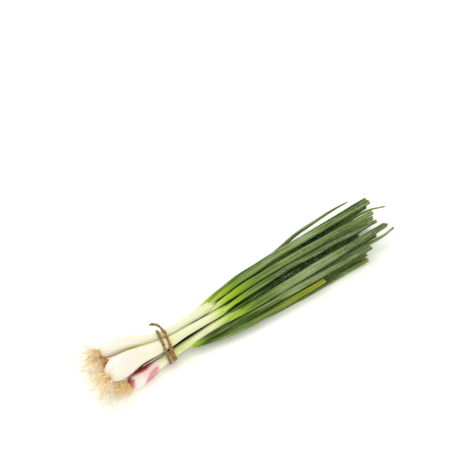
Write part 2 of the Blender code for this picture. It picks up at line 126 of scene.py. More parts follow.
# The light: a broad soft box high behind the bunch, a weaker one in front, and white light all round.
LAMPS = [  # name, place and aim in mm, width, power in watts
    ("key_softbox", (-350.0, 900.0, 1500.0), (0.0, 0.0, 0.0), 1500.0, 13.0),
    ("front_softbox", (-800.0, -1200.0, 800.0), (-60.0, 0.0, 0.0), 1200.0, 9.0),
]
for lamp_name, place, aim, width, power in LAMPS:
    lamp = bpy.data.objects.new(lamp_name, bpy.data.lights.new(lamp_name, "AREA"))
    lamp.data.size = width * MM
    lamp.data.energy = power
    lamp.location = Vector(place) * MM
    lamp.rotation_euler = (Vector(place) - Vector(aim)).to_track_quat("Z", "Y").to_euler()
    bpy.context.scene.collection.objects.link(lamp)
world = bpy.data.worlds.new("studio")
world.use_nodes = True
world.node_tree.nodes["Background"].inputs["Color"].default_value = linear("#ffffff")
world.node_tree.nodes["Background"].inputs["Strength"].default_value = 1.0
bpy.context.scene.world = world


# The onions: four young bulbs, each drawn out into a pale stem of leaf sheaths rolled one round another.
# The outer skin is thin, moist and a little see-through. C is a pink-skinned one whose outermost skin
# has torn away over its belly, and D, underneath, still has its brown papery foot.
TIE = np.array([-99.8, -8.2, 0.0])  # the tie's place in the bunch's frame; lengths below start from it
ONION_COLUMNS = 72
ROWS_PER_SPAN = 16
DOME_HEIGHT = 0.9  # how far the foot of a bulb bulges past its first ring
DOME_ROWS = 6
DOME_START = 0.17  # where its quarter oval starts, in radians from the pole
ONION_RIPPLES = [(0.012, 34.0, 2), (0.010, 21.0, 3)]  # size, wavelength in mm, waves round a ring
ONION_AXES = {  # x, y, z, half width, half height; past the leaves' start the stem's heart runs out
    "a": [
        (-57.0, 28.4, 19.4, 4.8, 4.8), (-53.0, 28.0, 19.5, 6.8, 6.8), (-45.0, 26.8, 19.9, 7.8, 7.8),
        (-31.0, 22.8, 20.2, 7.2, 7.2), (-19.0, 16.2, 20.4, 5.8, 5.8), (-8.0, 10.6, 20.6, 4.9, 4.9),
        (4.0, 8.4, 20.6, 4.7, 4.7), (28.0, 8.1, 20.3, 4.5, 4.4), (52.0, 9.8, 19.9, 6.2, 4.3),
        (64.0, 10.6, 20.0, 4.6, 3.0), (84.0, 12.2, 20.4, 0.7, 0.6),
    ],
    "b": [
        (-69.7, -3.2, 25.2, 2.6, 2.6), (-68.2, -2.9, 25.2, 6.0, 6.0), (-63.5, -2.0, 25.2, 9.5, 9.5),
        (-55.5, -0.7, 25.2, 11.5, 11.5), (-43.0, 0.2, 24.7, 10.4, 10.4), (-30.0, 0.2, 23.7, 8.2, 8.2),
        (-15.0, -1.0, 22.2, 6.9, 6.9), (2.0, -2.2, 21.3, 5.2, 5.2), (20.0, -2.0, 21.4, 4.2, 4.2),
        (44.0, -2.6, 21.8, 3.9, 3.9), (60.0, -3.2, 22.0, 3.7, 3.7), (72.0, -2.8, 21.6, 2.4, 2.4),
        (86.0, -2.2, 21.0, 0.6, 0.6),
    ],
    "c": [
        (-52.0, -11.6, 6.6, 4.8, 4.8), (-48.5, -11.4, 6.6, 6.5, 6.5), (-40.0, -11.1, 6.7, 7.2, 7.2),
        (-29.0, -10.2, 6.9, 6.4, 6.4), (-17.0, -8.7, 8.0, 5.1, 5.1), (0.0, -7.8, 9.9, 4.6, 4.6),
        (12.0, -7.5, 11.0, 4.4, 4.4), (26.0, -7.6, 12.4, 4.2, 4.2), (44.0, -7.8, 14.2, 4.1, 4.1),
        (60.0, -8.7, 15.5, 4.1, 4.1), (74.0, -9.8, 16.6, 2.6, 2.6), (88.0, -10.8, 17.4, 0.6, 0.6),
    ],
    "d": [
        (-52.5, 20.0, 8.2, 4.0, 4.0), (-49.5, 18.5, 8.3, 6.2, 6.2), (-42.0, 14.0, 7.9, 8.5, 8.5),
        (-31.0, 7.6, 7.9, 7.5, 7.5), (-21.0, 3.8, 8.8, 6.4, 6.4), (-8.0, 2.6, 9.5, 5.5, 5.5),
        (6.0, 3.0, 9.8, 5.1, 5.1), (28.0, 3.4, 9.6, 4.9, 4.7), (50.0, 3.5, 9.4, 6.2, 4.4),
        (64.0, 3.5, 9.4, 4.2, 3.0), (78.0, 3.2, 9.2, 0.6, 0.6),
    ],
}


def smooth_rows(stations, steps):
    """Catmull-Rom rows through the stations: over each span the cubic that leaves a station with half
    the step between its two neighbours."""
    rows = np.array([stations[0], *stations, stations[-1]])
    before, start, end, after = rows[:-3], rows[1:-2], rows[2:-1], rows[3:]
    t = (np.arange(steps) / steps)[None, :, None]
    before, start, end, after = (part[:, None, :] for part in (before, start, end, after))
    curve = 0.5 * (2 * start + (end - before) * t + (2 * before - 5 * start + 4 * end - after) * t ** 2
                   + (3 * start - before - 3 * end + after) * t ** 3)
    return np.concatenate([curve.reshape(-1, rows.shape[1]), rows[-1:]])


def unit(vectors):
    """Vectors divided by their lengths."""
    return vectors / np.linalg.norm(vectors, axis=-1, keepdims=True)


def smooth_step(values):
    """0 below 0, 1 above 1, and t * t * (3 - 2 t) between."""
    t = np.clip(values, 0.0, 1.0)
    return t * t * (3.0 - 2.0 * t)


def ripple(rng, along, size, wavelength, waves=4):
    """A smooth uneven line between about plus and minus the size: the mean of a few sines near the
    wavelength, at random phases."""
    turns = rng.uniform(0.6, 1.7, waves) * 2 * np.pi / wavelength
    sines = np.sin(along[..., None] * turns + rng.uniform(0, 2 * np.pi, waves))
    return size * (sines.mean(axis=-1) * 1.6)


def ring_angles(columns):
    """Even steps round a ring, in radians from its level side."""
    return 2 * np.pi * np.arange(columns) / columns


def tube_rings(path, half_width, half_height, roll, columns, swell=0.0, push=0.0, boxy=1.0):
    """Oval rings across paths shaped (..., rows, 3). A ring's point at angle a lies half_width * cos a
    to the level side and half_height * sin a above, turned by the roll, grown by the swell and pushed
    along the path. Boxy below 1 raises the sine and cosine to that power, for fuller corners."""
    onward = unit(np.gradient(path, axis=-2))
    across = unit(np.cross(np.array([0.0, 0.0, 1.0]), onward))
    above = np.cross(onward, across)
    angles = ring_angles(columns)
    cosine = np.sign(np.cos(angles)) * np.abs(np.cos(angles)) ** boxy
    sine = np.sign(np.sin(angles)) * np.abs(np.sin(angles)) ** boxy
    u = half_width[..., None] * cosine * (1 + swell)
    v = half_height[..., None] * sine * (1 + swell)
    turn = np.broadcast_to(roll, half_width.shape)[..., None]
    side = u * np.cos(turn) - v * np.sin(turn)
    rise = u * np.sin(turn) + v * np.cos(turn)
    moved = np.broadcast_to(push, u.shape)
    return (path[..., None, :] + across[..., None, :] * side[..., None]
            + above[..., None, :] * rise[..., None] + onward[..., None, :] * moved[..., None])


def skin_mesh(name, rings, masks):
    """A closed skin over tubes of rings, shaped (tubes, rows, columns, 3) in mm from the tie: quads
    join neighbours, columns run round, and a fan closes each end on its ring's middle. Masks are
    numbers or vectors for each point, kept as attributes that the material reads."""
    tubes, rows, columns = rings.shape[:3]
    grid = np.arange(tubes * rows * columns).reshape(tubes, rows, columns)
    beside = np.roll(grid, -1, axis=2)
    quads = np.stack([grid[:, :-1], beside[:, :-1], beside[:, 1:], grid[:, 1:]], axis=-1)
    pole = grid.size + np.arange(2 * tubes).reshape(tubes, 2, 1)
    foot = np.stack(np.broadcast_arrays(beside[:, 0], grid[:, 0], pole[:, 0]), axis=-1)
    head = np.stack(np.broadcast_arrays(grid[:, -1], beside[:, -1], pole[:, 1]), axis=-1)
    corners = np.concatenate([quads.ravel(), foot.ravel(), head.ravel()])
    sizes = np.repeat([4, 3], [quads.size // 4, (foot.size + head.size) // 3])
    points = np.concatenate([rings.reshape(-1, 3), rings[:, [0, -1]].mean(axis=2).reshape(-1, 3)])
    mesh = bpy.data.meshes.new(name)
    mesh.vertices.add(len(points))
    mesh.vertices.foreach_set("co", ((points + TIE) * MM).ravel())
    mesh.loops.add(len(corners))
    mesh.loops.foreach_set("vertex_index", corners.astype(np.int32))
    mesh.polygons.add(len(sizes))
    mesh.polygons.foreach_set("loop_start", (np.cumsum(sizes) - sizes).astype(np.int32))
    mesh.update(calc_edges=True)
    for mask, values in masks.items():
        vector = values.ndim == 4
        ends = values[:, [0, -1]].mean(axis=2)
        width = 3 if vector else 1
        flat = np.concatenate([values.reshape(-1, width), ends.reshape(-1, width)]).ravel()
        attribute = mesh.attributes.new(mask, "FLOAT_VECTOR" if vector else "FLOAT", "POINT")
        attribute.data.foreach_set("vector" if vector else "value", flat.astype(np.float32))
    mesh.shade_smooth()
    return mesh


def one_tube(rings, masks):
    """The rings and masks of a single tube, shaped as skin_mesh takes them."""
    return rings[None], {name: values[None] for name, values in masks.items()}


def skin_grain(along, radius, columns):
    """Each point's own coordinates on a tube, in mm: along it, and round it as a circle, so that a
    pattern runs lengthwise with the tube and has no seam."""
    angles = ring_angles(columns)
    parts = np.broadcast_arrays(
        along[..., None], radius[..., None] * np.cos(angles), radius[..., None] * np.sin(angles))
    return np.stack(parts, axis=-1)


def dress(name, mesh, material, slot, *nodes):
    """Puts a finished mesh in the scene as a piece that stands for CAD nodes."""
    piece = bpy.data.objects.new(name, mesh)
    mesh.materials.append(material)
    bpy.context.scene.collection.objects.link(piece)
    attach(piece, "root")
    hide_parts(*nodes)


def grain_patterns(tree, patterns):
    """Noise on a tube's own coordinates, by name: each pattern has its scale along the tube and round
    it, in waves per mm, and its detail."""
    grain = add_node(tree, "ShaderNodeAttribute", output="Vector", attribute_name="grain")
    made = {}
    for name, along, about, detail in patterns:
        place = add_node(tree, "ShaderNodeVectorMath", {0: grain, 1: (along, about, about)},
                         operation="MULTIPLY")
        made[name] = add_node(tree, "ShaderNodeTexNoise", {
            "Vector": place, "Scale": 1.0, "Detail": detail, "Roughness": 0.6})
    return made


def read_masks(tree, names):
    """The masks that skin_mesh keeps for each point, read back by name."""
    return {name: add_node(tree, "ShaderNodeAttribute", output="Fac", attribute_name=name)
            for name in names}


def lay_tints(tree, colour, tints):
    """Lays tints over a colour one after another, each by how far its mask has come from a low level
    to a high one."""
    for mask, low, high, tint in tints:
        share = add_node(tree, "ShaderNodeMapRange", {
            "Value": mask, "From Min": low, "From Max": high})
        colour = add_node(tree, "ShaderNodeMix", {0: share, 6: colour, 7: tint}, output=2,
                          data_type="RGBA")
    return colour


# The colours that lie over the pale tissue, the later over the earlier. Some stand for light and shade:
# pearl is partly painted light, straw partly painted shade, and fold is the painted shade of the creases.
SKIN_MASKS = ["green", "cream", "pearl_and_painted_light", "straw_and_shade", "pink", "brown", "fold_shade"]


def onion_skin():
    """The moist outer skin of a young onion: pearly cell tissue with fine lengthwise veins, that shows
    some of the layer under it. It runs from warm white at the bulb to yellow-green at the leaves."""
    material, tree = new_material("onion_skin")
    mask = read_masks(tree, SKIN_MASKS)
    # Veins lie about 1 mm apart and run on for some 60 mm, over cloudy patches of 8 mm.
    pattern = grain_patterns(tree, [("veins", 0.016, 1.0, 4.0), ("clouds", 0.05, 0.13, 3.0)])
    tissue = add_node(tree, "ShaderNodeValToRGB", {"Fac": pattern["veins"]}, stops=[
        (0.30, "#d0cab8"), (0.45, "#d9d4c7"), (0.70, "#e0dcd2")])
    # The green comes in streaks, because each vein greens on its own.
    streaked = add_node(tree, "ShaderNodeMath", {0: pattern["veins"], 1: 0.4, 2: mask["green"]},
                        operation="MULTIPLY_ADD")
    streaked = add_node(tree, "ShaderNodeMath", {0: streaked, 1: 0.2}, operation="SUBTRACT")
    stem = add_node(tree, "ShaderNodeValToRGB", {"Fac": streaked}, stops=[
        (0.0, "#e0dac8"), (0.22, "#dbd8c0"), (0.42, "#d2d5ae"), (0.60, "#c3cb84"),
        (0.80, "#9fb83e"), (1.0, "#4a661c")])
    # The pink is cloudy and streaked, from a blush where it is thin to brown where it has dried.
    blush = add_node(tree, "ShaderNodeMath", {0: pattern["clouds"], 1: 0.5, 2: mask["pink"]},
                     operation="MULTIPLY_ADD")
    blush = add_node(tree, "ShaderNodeMath", {0: pattern["veins"], 1: 0.7, 2: blush},
                     operation="MULTIPLY_ADD")
    blush = add_node(tree, "ShaderNodeMath", {0: blush, 1: 0.60}, operation="SUBTRACT")
    pink = add_node(tree, "ShaderNodeValToRGB", {"Fac": blush}, stops=[
        (0.0, "#ecdccc"), (0.25, "#d9aba5"), (0.50, "#c47b80"), (0.72, "#a84e5c"),
        (0.95, "#8a3828")])
    papery = add_node(tree, "ShaderNodeValToRGB", {"Fac": pattern["veins"]}, stops=[
        (0.32, "#9a5010"), (0.5, "#cc7a26"), (0.68, "#e2a452")])
    colour = lay_tints(tree, tissue, [
        (mask["green"], 0.0, 0.16, stem), (mask["cream"], 0.0, 1.0, linear("#ead2a6")),
        # The pearl colour is painted light on A's shaded lower flank and a painted highlight along the
        # top of C's stem; on the squeezed fold it is that skin's own pale colour.
        # The straw colour is mostly painted shade: yellowish along the seam where A and B touch, and
        # under the twine; on the squeezed fold it is that skin's own dry colour.
        (mask["pearl_and_painted_light"], 0.0, 1.0, linear("#f4efe2")), (mask["straw_and_shade"], 0.0, 1.0, linear("#d8c766")),
        (mask["pink"], 0.0, 0.42, pink), (mask["brown"], 0.0, 1.0, papery),
        # Painted shade: the dark green of the shaded creases where stems press together.
        (mask["fold_shade"], 0.0, 1.0, linear("#1d2608"))])
    bump = add_node(tree, "ShaderNodeBump", {
        "Height": pattern["veins"], "Strength": 0.4, "Distance": 0.25 * MM})
    # Light soaks through the moist tissue and shines on it, except in the shaded creases.
    soaked = add_node(tree, "ShaderNodeMapRange", {
        "Value": mask["fold_shade"], "To Min": 0.30, "To Max": 0.0})
    shine = add_node(tree, "ShaderNodeMapRange", {
        "Value": mask["fold_shade"], "To Min": 0.40, "To Max": 0.0})
    rough = add_node(tree, "ShaderNodeMapRange", {
        "Value": pattern["clouds"], "To Min": 0.26, "To Max": 0.46})
    shader = add_node(tree, "ShaderNodeBsdfPrincipled", {
        "Base Color": colour, "Roughness": rough, "IOR": 1.42, "Specular IOR Level": shine,
        "Normal": bump, "Subsurface Weight": soaked, "Subsurface Radius": (1.0, 0.9, 0.6),
        "Subsurface Scale": 2.5 * MM})
    add_node(tree, "ShaderNodeOutputMaterial", {"Surface": shader})
    return material


GREENING = {  # how green the stem is at x: 0 the bulb's white, 0.4 a pale stem, 1 leaf green
    "a": [(-60, 0), (-30, 0.06), (-5, 0.34), (40, 0.40), (58, 0.50), (84, 0.90)],
    "b": [(-48, 0), (-20, 0.22), (5, 0.42), (45, 0.44), (56, 0.62), (66, 0.82), (86, 0.95)],
    "c": [(-26, 0), (-10, 0.42), (10, 0.60), (28, 0.44), (50, 0.50), (64, 0.78), (88, 0.95)],
    # D's stem turns full leaf green past the tie, darker than the others; where it shows in the gap
    # between B and C, this green is also the painted shade of that gap.
    "d": [(-42, 0), (-26, 0.20), (-8, 0.42), (6, 1.0), (80, 1.1)],
}
SKIN_PATCHES = {  # mask, strength, middle's x and angle, half length and spread in degrees, how ragged
    # its edge is, and its slant in mm for each degree round the bulb; a bulge swells the bulb itself
    # Painted shade: on A the straw colour darkens and yellows the lower flank along the seam with B.
    "a": [("straw_and_shade", 1.0, -24.0, 188.0, 36.0, 44.0, 0.0, 0.0),
          # Painted light: the pearl colour lightens A's shaded lower flank.
          ("pearl_and_painted_light", 1.0, -36.0, 186.0, 36.0, 90.0, 0.0, 0.0),
          ("brown", 0.8, -56.0, 210.0, 9.0, 46.0, 0.0, 0.0)],
    # Painted shade: on B the straw colour darkens and yellows the upper flank along the seam with A.
    "b": [("straw_and_shade", 0.55, -22.0, 48.0, 34.0, 34.0, 0.0, 0.0),
          ("pink", 0.16, -48.0, 225.0, 26.0, 60.0, 0.0, 0.0)],
    # What is left of C's pink skin: a crescent at the foot, a dark strip along the top, a mauve tongue
    # low on the belly with a faint blush above it, and the back, which is still whole.
    "c": [("pink", 0.64, -55.0, 70.0, 10.5, 190.0, 0.15, 0.0),
          ("pink", 1.10, -33.0, 50.0, 18.0, 62.0, 0.4, 0.0),
          ("pink", 0.49, -28.9, 170.0, 14.0, 80.0, 0.0, 0.07),
          ("pink", 0.20, -28.0, 110.0, 17.0, 90.0, 0.0, 0.0),
          ("pink", 0.85, -36.0, 330.0, 22.0, 90.0, 0.0, 0.0),
          # Painted highlight: the pearl colour lightens the top of C's stem where its leaves break out.
          ("pearl_and_painted_light", 1.0, 68.0, 55.0, 18.0, 30.0, 0.0, 0.0),
          ("bulge", 0.17, -34.0, 62.0, 17.0, 60.0, 0.0, 0.0)],
    "d": [("bulge", 0.13, -20.0, 186.0, 26.0, 70.0, 0.0, 0.0)],
}
SEAM_SHADE_DEEPENS = [(-52.0, 0.25), (-12.0, 0.85)]  # how strong A's yellowish painted shade along its seam with B is at x
CREAM, CREAM_LENGTH, CREAM_EDGE = 0.5, 5.5, 5.0  # strength, reach and edge of the cream at each foot
TIE_SHADE, TIE_SHADE_LENGTH = 0.55, 5.5  # strength and half length of the painted shade that the twine's turns cast on the stems, in the straw colour
PINK_FILM = 0.04  # the least pink that is left on C's bared belly
PINK_END = -12.0  # the x where the pink skin ends, and below for the brown one
PINK_STEP = 0.035  # how far the torn skin stands off the belly, as a share of its radius
BROWN_END = -38.0
SKIN_EDGE = 8.0  # over how many mm a dry skin fades out
SKIN_WANDER = [(2.4, 5, 1.3), (1.5, 9, 0.4)]  # its edge's uneven line: size, waves round, phase
FOLD_SHADES = {  # the shaded creases where stems press together: x from and to, angle, spread, depth
    "a": [(24.0, 58.0, 177.0, 22.0, 1.0), (-2.0, 72.0, 190.0, 20.0, 0.25),
          (58.0, 110.0, 120.0, 110.0, 1.0), (-56.0, -24.0, 199.0, 10.0, 0.5),
          (-38.0, -4.0, 183.0, 10.0, 0.6), (-20.0, 8.0, 173.0, 9.0, 0.6)],
    "b": [(-4.0, 74.0, 236.0, 44.0, 1.0), (26.0, 58.0, 53.0, 15.0, 0.9),
          (-60.0, 8.0, 34.0, 24.0, 0.5), (6.0, 36.0, 213.0, 26.0, 1.0)],
    "c": [(-6.0, 70.0, 48.0, 46.0, 1.0), (20.0, 90.0, 232.0, 52.0, 1.0)],
    "d": [(-40.0, 12.0, 164.0, 44.0, 0.9), (2.0, 70.0, 160.0, 90.0, 1.0)],
}
FOLD_SHADE_ENDS = (12.0, 8.0)  # how softly a crease starts and ends, in mm


def degrees_from(angle, middle):
    """How far round from the middle an angle lies, between -180 and 180."""
    return (angle - middle + 180.0) % 360.0 - 180.0


def patch(x, angle, middle_x, middle_angle, length, spread):
    """1 inside an oval patch of the skin and 0 outside: x in mm, angles in degrees, soft at its edge."""
    turned = degrees_from(angle, middle_angle)
    return smooth_step(1.6 - np.hypot((x - middle_x) / length, turned / spread) * 1.6)


def bands(x, angle, rows, ends):
    """The strongest of a few lengthwise bands at each point. A band fades at its two ends over the
    given lengths, and round the tube it is a bell curve: e to the minus square of the turn over 0.6 of
    its spread."""
    strongest = 0 * x
    for first, last, middle, spread, strength in rows:
        length = smooth_step((x - first) / ends[0]) * smooth_step((last - x) / ends[1])
        round_it = np.exp(-(degrees_from(angle, middle) / (0.6 * spread)) ** 2)
        strongest = np.maximum(strongest, strength * length * round_it)
    return strongest


def onion_rows(key):
    """Rows of x, y, z and the half sizes. The foot is a quarter oval that grows from a sixth of the
    first ring's radius to all of it, and the body follows the stations."""
    rows = smooth_rows(ONION_AXES[key], ROWS_PER_SPAN)
    share = np.sin(np.linspace(DOME_START, np.pi / 2, DOME_ROWS + 1))[:-1]
    outward = unit(rows[0, :3] - rows[1, :3])
    foot = np.repeat(rows[:1], DOME_ROWS, axis=0)
    foot[:, :3] += outward * (DOME_HEIGHT * np.sqrt(1 - share ** 2))[:, None]
    foot[:, 3:] *= share[:, None]
    return np.concatenate([foot, rows])


def onion_masks(key, x, angles):
    """How strongly each colour lies on a skin, at x and at an angle round it, and how far the bulb
    bulges there: patches, bands along the creases, and edges that wander by a few sines."""
    degrees = np.degrees(angles)
    wander = sum(size * np.sin(waves * angles + phase) for size, waves, phase in SKIN_WANDER)
    masks = {name: 0 * x for name in (*SKIN_MASKS, "bulge")}
    for name, strength, middle_x, middle, length, spread, ragged, slant in SKIN_PATCHES[key]:
        moved = x + ragged * wander + slant * (degrees - middle)
        there = strength * patch(moved, degrees, middle_x, middle, length, spread)
        masks[name] = np.maximum(masks[name], there)
    # A's painted seam shade deepens towards the neck.
    if key == "a":
        masks["straw_and_shade"] *= np.interp(x, *np.array(SEAM_SHADE_DEEPENS).T)
    if key == "c":
        torn = np.maximum(masks["pink"], PINK_FILM)
        masks["bulge"] += PINK_STEP * smooth_step(torn * 3 - 0.8)
        masks["pink"] = torn * smooth_step((PINK_END + wander - x) / SKIN_EDGE)
    if key == "d":
        masks["brown"] = smooth_step((BROWN_END + 2 * wander - x) / SKIN_EDGE)
    # Painted shade: a ring of straw colour where the twine's turns shade the stems.
    twine_shade = TIE_SHADE * patch(x, 0 * degrees, 0.0, 0.0, TIE_SHADE_LENGTH, 90.0)
    masks["straw_and_shade"] = np.maximum(masks["straw_and_shade"], twine_shade)
    masks["cream"] = CREAM * smooth_step((x[0] + CREAM_LENGTH + 0.3 * wander - x) / CREAM_EDGE)
    masks["green"] = np.interp(x + 1.2 * wander, *np.array(GREENING[key]).T)
    masks["fold_shade"] = bands(x, degrees, FOLD_SHADES[key], FOLD_SHADE_ENDS)
    return masks


def onion_rings(key, rng):
    """One onion's rings and masks. Ripples make the rings uneven, and where the bulb would go through
    the floor it is pressed flat."""
    rows = onion_rows(key)
    x = rows[:, 0]
    angles = ring_angles(ONION_COLUMNS)
    masks = onion_masks(key, x[:, None] + 0 * angles, angles)
    uneven = sum(ripple(rng, x, size, wavelength)[:, None] * np.cos(waves * angles + rng.uniform(0, 6))
                 for size, wavelength, waves in ONION_RIPPLES)
    rings = tube_rings(rows[:, :3], rows[:, 3], rows[:, 4], 0.0, ONION_COLUMNS,
                       swell=uneven + masks.pop("bulge"))
    rings[..., 2] = np.maximum(rings[..., 2], 0.0)
    masks["grain"] = skin_grain(x, rows[:, 3], ONION_COLUMNS)
    return one_tube(rings, masks)


skin = onion_skin()
onion_rng = np.random.default_rng(5)
for key in ONION_AXES:
    onion_mesh = skin_mesh(f"onion_skin_{key}", *onion_rings(key, onion_rng))
    slot = "pink_bulb_skin" if key == "c" else "pale_bulb_skin"
    dress(f"onion_skin_{key}", onion_mesh, skin, slot, f"onion_{key}")

# A narrow dry fold of D's skin is squeezed out between B and C, and stands pale in the dark gap.
SQUEEZED_LINE = [(-39.0, -8.5, 9.5), (-31.5, -4.4, 12.2), (-21.7, -5.4, 14.0), (-11.2, -5.4, 14.4),
                 (-6.0, -5.0, 14.0)]
SQUEEZED_COLUMNS = 8
SQUEEZED_HALF_WIDTH = 0.48
SQUEEZED_FLATNESS = 0.8  # its height over its width
# The fold's own pale dry colour, from the pearl and straw colours.
SQUEEZED_COLOUR = {"straw_and_shade": 0.30, "pearl_and_painted_light": 1.0}


def squeezed_rings():
    """The fold's rings and masks. Its half width is the square root of a sine along its line."""
    path = smooth_rows(SQUEEZED_LINE, 8)
    half_width = SQUEEZED_HALF_WIDTH * np.sin(np.linspace(0.1, np.pi - 0.1, len(path))) ** 0.5
    rings = tube_rings(path, half_width, SQUEEZED_FLATNESS * half_width, 0.0, SQUEEZED_COLUMNS)
    masks = {name: np.full(rings.shape[:2], SQUEEZED_COLOUR.get(name, 0.0)) for name in SKIN_MASKS}
    masks["grain"] = skin_grain(path[:, 0], half_width, SQUEEZED_COLUMNS)
    return one_tube(rings, masks)


dress("squeezed_skin_fold", skin_mesh("squeezed_skin_fold", *squeezed_rings()), skin, "pale_bulb_skin",
      "onion_d")


# The leaves: hollow, waxy, a little flattened. Each breaks out of its onion's rolled sheaths as a narrow
# bright tongue and widens as it greens. Most were trimmed with one cut of a knife, which leaves an open
# tube with a pale moist rim, and three small ones keep their dry points.
LEAF_COLUMNS = 32
LEAF_STEP = 1.5  # distance between a leaf's rings
LEAF_FULLNESS = 0.9  # below 1, the ring's corners are fuller than an oval's
LEAF_TONGUE = 0.48  # a leaf's share of its full width where it starts inside the stem
LEAF_WIDENING = 48.0  # how far past its start a leaf is fully open
LEAF_NARROWING, NARROWS_FROM = 0.34, 0.45  # how much a cut leaf narrows, and from what share of it on
LEAF_WALL = 0.5
INNER_LENGTH = 26.0  # how far back a cut tube's inner wall is made
INNER_SHRINK = 0.9  # how much of its size the inner wall keeps at its far end
SWAY_LENGTH = 40.0  # over how many mm past its start a leaf comes to sway freely
LEAF_RIPPLES = {  # what makes a leaf uneven: size and wavelength. The sizes are in mm sideways and
    # upward, in degrees for the roll, and shares of the leaf's own size for the rest
    "width": (0.04, 55.0), "height": (0.06, 48.0), "sideways": (0.25, 60.0), "upward": (0.18, 70.0),
    "roll": (4.0, 80.0), "groove": (0.06, 45.0), "wall": (0.015, 16.0)}
GROOVE_DEPTH = 0.10  # as a share of the leaf's radius
GROOVE_SPREAD = 0.42  # in radians
GROOVE_BETWEEN = (60.0, 120.0)  # the degrees round the leaf that its groove may lie at
CUT_SLANT, GABLE_SLANT = 0.55, 1.3  # how far a cut runs along a leaf, for each mm of half width
SCARF_LENGTH = 12.0  # how far one slanting cut opens a leaf along its top
TORN_EDGE, RAGGED_EDGE = 0.3, 1.3  # how far fibres stand out of a clean cut, and of a ragged one
CUT_ROWS, SCARF_ROWS = 6, 12  # the rings that a cut moves
RIM_LENGTH = 2.5  # how far from the cut the pale moist rim fades out
LEAVES = {  # width, height, roll at its root and its end, ending, finish, how far back inside the stem
    # it starts, and over how many mm its young green fades
    "a1": (6.6, 4.0, 0, 12, "scarf", "waxy", 20, 20),
    "a2": (7.2, 4.4, 4, 26, "square", "fresh", 20, 34),
    "a3": (7.6, 4.4, 8, 18, "square", "fresh", 16, 36),
    "a4": (6.8, 4.0, 4, 8, "slant", "deep", 20, 12),
    "a5": (5.6, 3.4, 0, 8, "point", "waxy", 20, 14),
    "b1": (5.6, 4.8, 0, -12, "square", "waxy", 20, 26),
    "b2": (6.2, 4.2, 0, 0, "square", "deep", 20, 8),
    "b3": (7.6, 4.8, 0, 6, "slant", "deep", 20, 8),
    "c1": (8.8, 4.8, 6, 24, "gable", "waxy", 20, 18),
    "c2": (7.6, 4.4, 10, 20, "square", "waxy", 7, 9),
    "c3": (7.0, 3.8, 14, 14, "ragged", "yellowing", 7, 9),
    "c4": (8.4, 4.4, 6, 0, "square", "yellowing", 7, 9),
    "c5": (5.6, 4.2, 0, 6, "square", "deep", 20, 5),
    "d1": (7.4, 4.6, 0, 6, "slant", "deep", 20, 8),
    "d2": (7.2, 4.6, 0, 0, "point", "waxy", 20, 8),
    "d3": (7.6, 4.2, 0, 0, "square", "deep", 20, 8),
    "d4": (6.4, 3.8, 0, 0, "point", "yellowing", 20, 8),
    "d5": (7.8, 4.2, 0, 0, "square", "deep", 20, 8),
}
LEAF_LINES = {  # the middle line, from where the leaf breaks out of its stem
    "a1": [(52.9, 14.0, 22.0), (75, 19.8, 18.4), (113, 27.2, 14.2), (160, 29.2, 13.0),
           (193, 28.8, 13.6), (282, 28.7, 17.0)],
    "a2": [(52.9, 9.8, 22.1), (80, 15.8, 21.0), (108, 18.8, 20.8), (154, 22.0, 20.4),
           (277, 19.8, 22.8)],
    "a3": [(52.9, 5.6, 20.0), (78, 7.0, 21.2), (105, 8.0, 22.2), (149, 8.0, 22.8), (267, 4.0, 25.5)],
    "a4": [(52.9, 9.8, 17.7), (110, 17.6, 15.6), (156, 20.0, 15.0), (274, 20.2, 17.2)],
    "a5": [(52.9, 14.0, 17.9), (115, 26.5, 9.5), (160, 34.2, 8.0), (199, 41.0, 9.0), (235, 42.4, 10.2),
           (268, 41.3, 12.0)],
    "b1": [(60.9, -4.2, 23.4), (102, -1.6, 23.4), (146, -1.0, 23.8), (261, -8.2, 26.0)],
    "b2": [(60.9, -3.6, 19.2), (80, -2.0, 15.8), (104, 0.5, 15.8), (149, 1.0, 16.2), (244, -3.6, 19.0)],
    "b3": [(60.9, -0.5, 21.5), (80, 3.2, 16.9), (107, 8.0, 15.4), (153, 10.0, 14.4), (268, 3.6, 17.2)],
    "c1": [(60.9, -9.8, 13.8), (85, -12.6, 17.0), (112, -13.2, 18.4), (144, -14.0, 19.4),
           (270, -16, 23)],
    "c2": [(27, -13.8, 11.6), (42, -14.6, 12.6), (69, -17.4, 13.7), (144, -20.0, 14.0),
           (240, -25.2, 15)],
    "c3": [(27, -13.0, 7.4), (42, -17.2, 7.8), (70, -22.0, 8.0), (101, -24.0, 8.4), (175, -27.2, 10.4)],
    "c4": [(27, -8.9, 5.5), (72, -17.0, 4.0), (104, -20.0, 2.8), (150, -24.0, 2.2), (180, -25.0, 2.1),
           (233, -28.0, 3.8)],
    "c5": [(60.9, -7.4, 17.6), (102, -5.9, 18.6), (147, -5.0, 19.2), (237, -8.4, 20.6)],
    "d1": [(50.9, 3.5, 11.5), (88, -1.4, 11.2), (112, -4.8, 11.6), (148, -8.0, 12.0),
           (257, -14.3, 13.4)],
    "d2": [(50.9, -0.6, 11.3), (80, -5.6, 8.8), (105, -9.2, 8.0), (149, -12.0, 8.0), (240, -16.4, 10.0),
           (264, -17.6, 10.2), (280, -16.2, 11.2)],
    "d3": [(50.9, -0.6, 7.5), (76, -4.8, 4.3), (106, -10.6, 3.2), (150, -16.6, 2.6), (236, -22.4, 4.6)],
    "d4": [(50.9, 7.6, 9.4), (111, 13.9, 9.2), (158, 19.5, 8.4), (228, 21.0, 9.6), (276, 18.2, 11.5),
           (293, 11.2, 13.0)],
    "d5": [(50.9, 3.5, 7.2), (111, 7.6, 4.6), (158, 10.2, 1.9), (190, 10.2, 1.9), (266, 6.8, 5.6)],
}
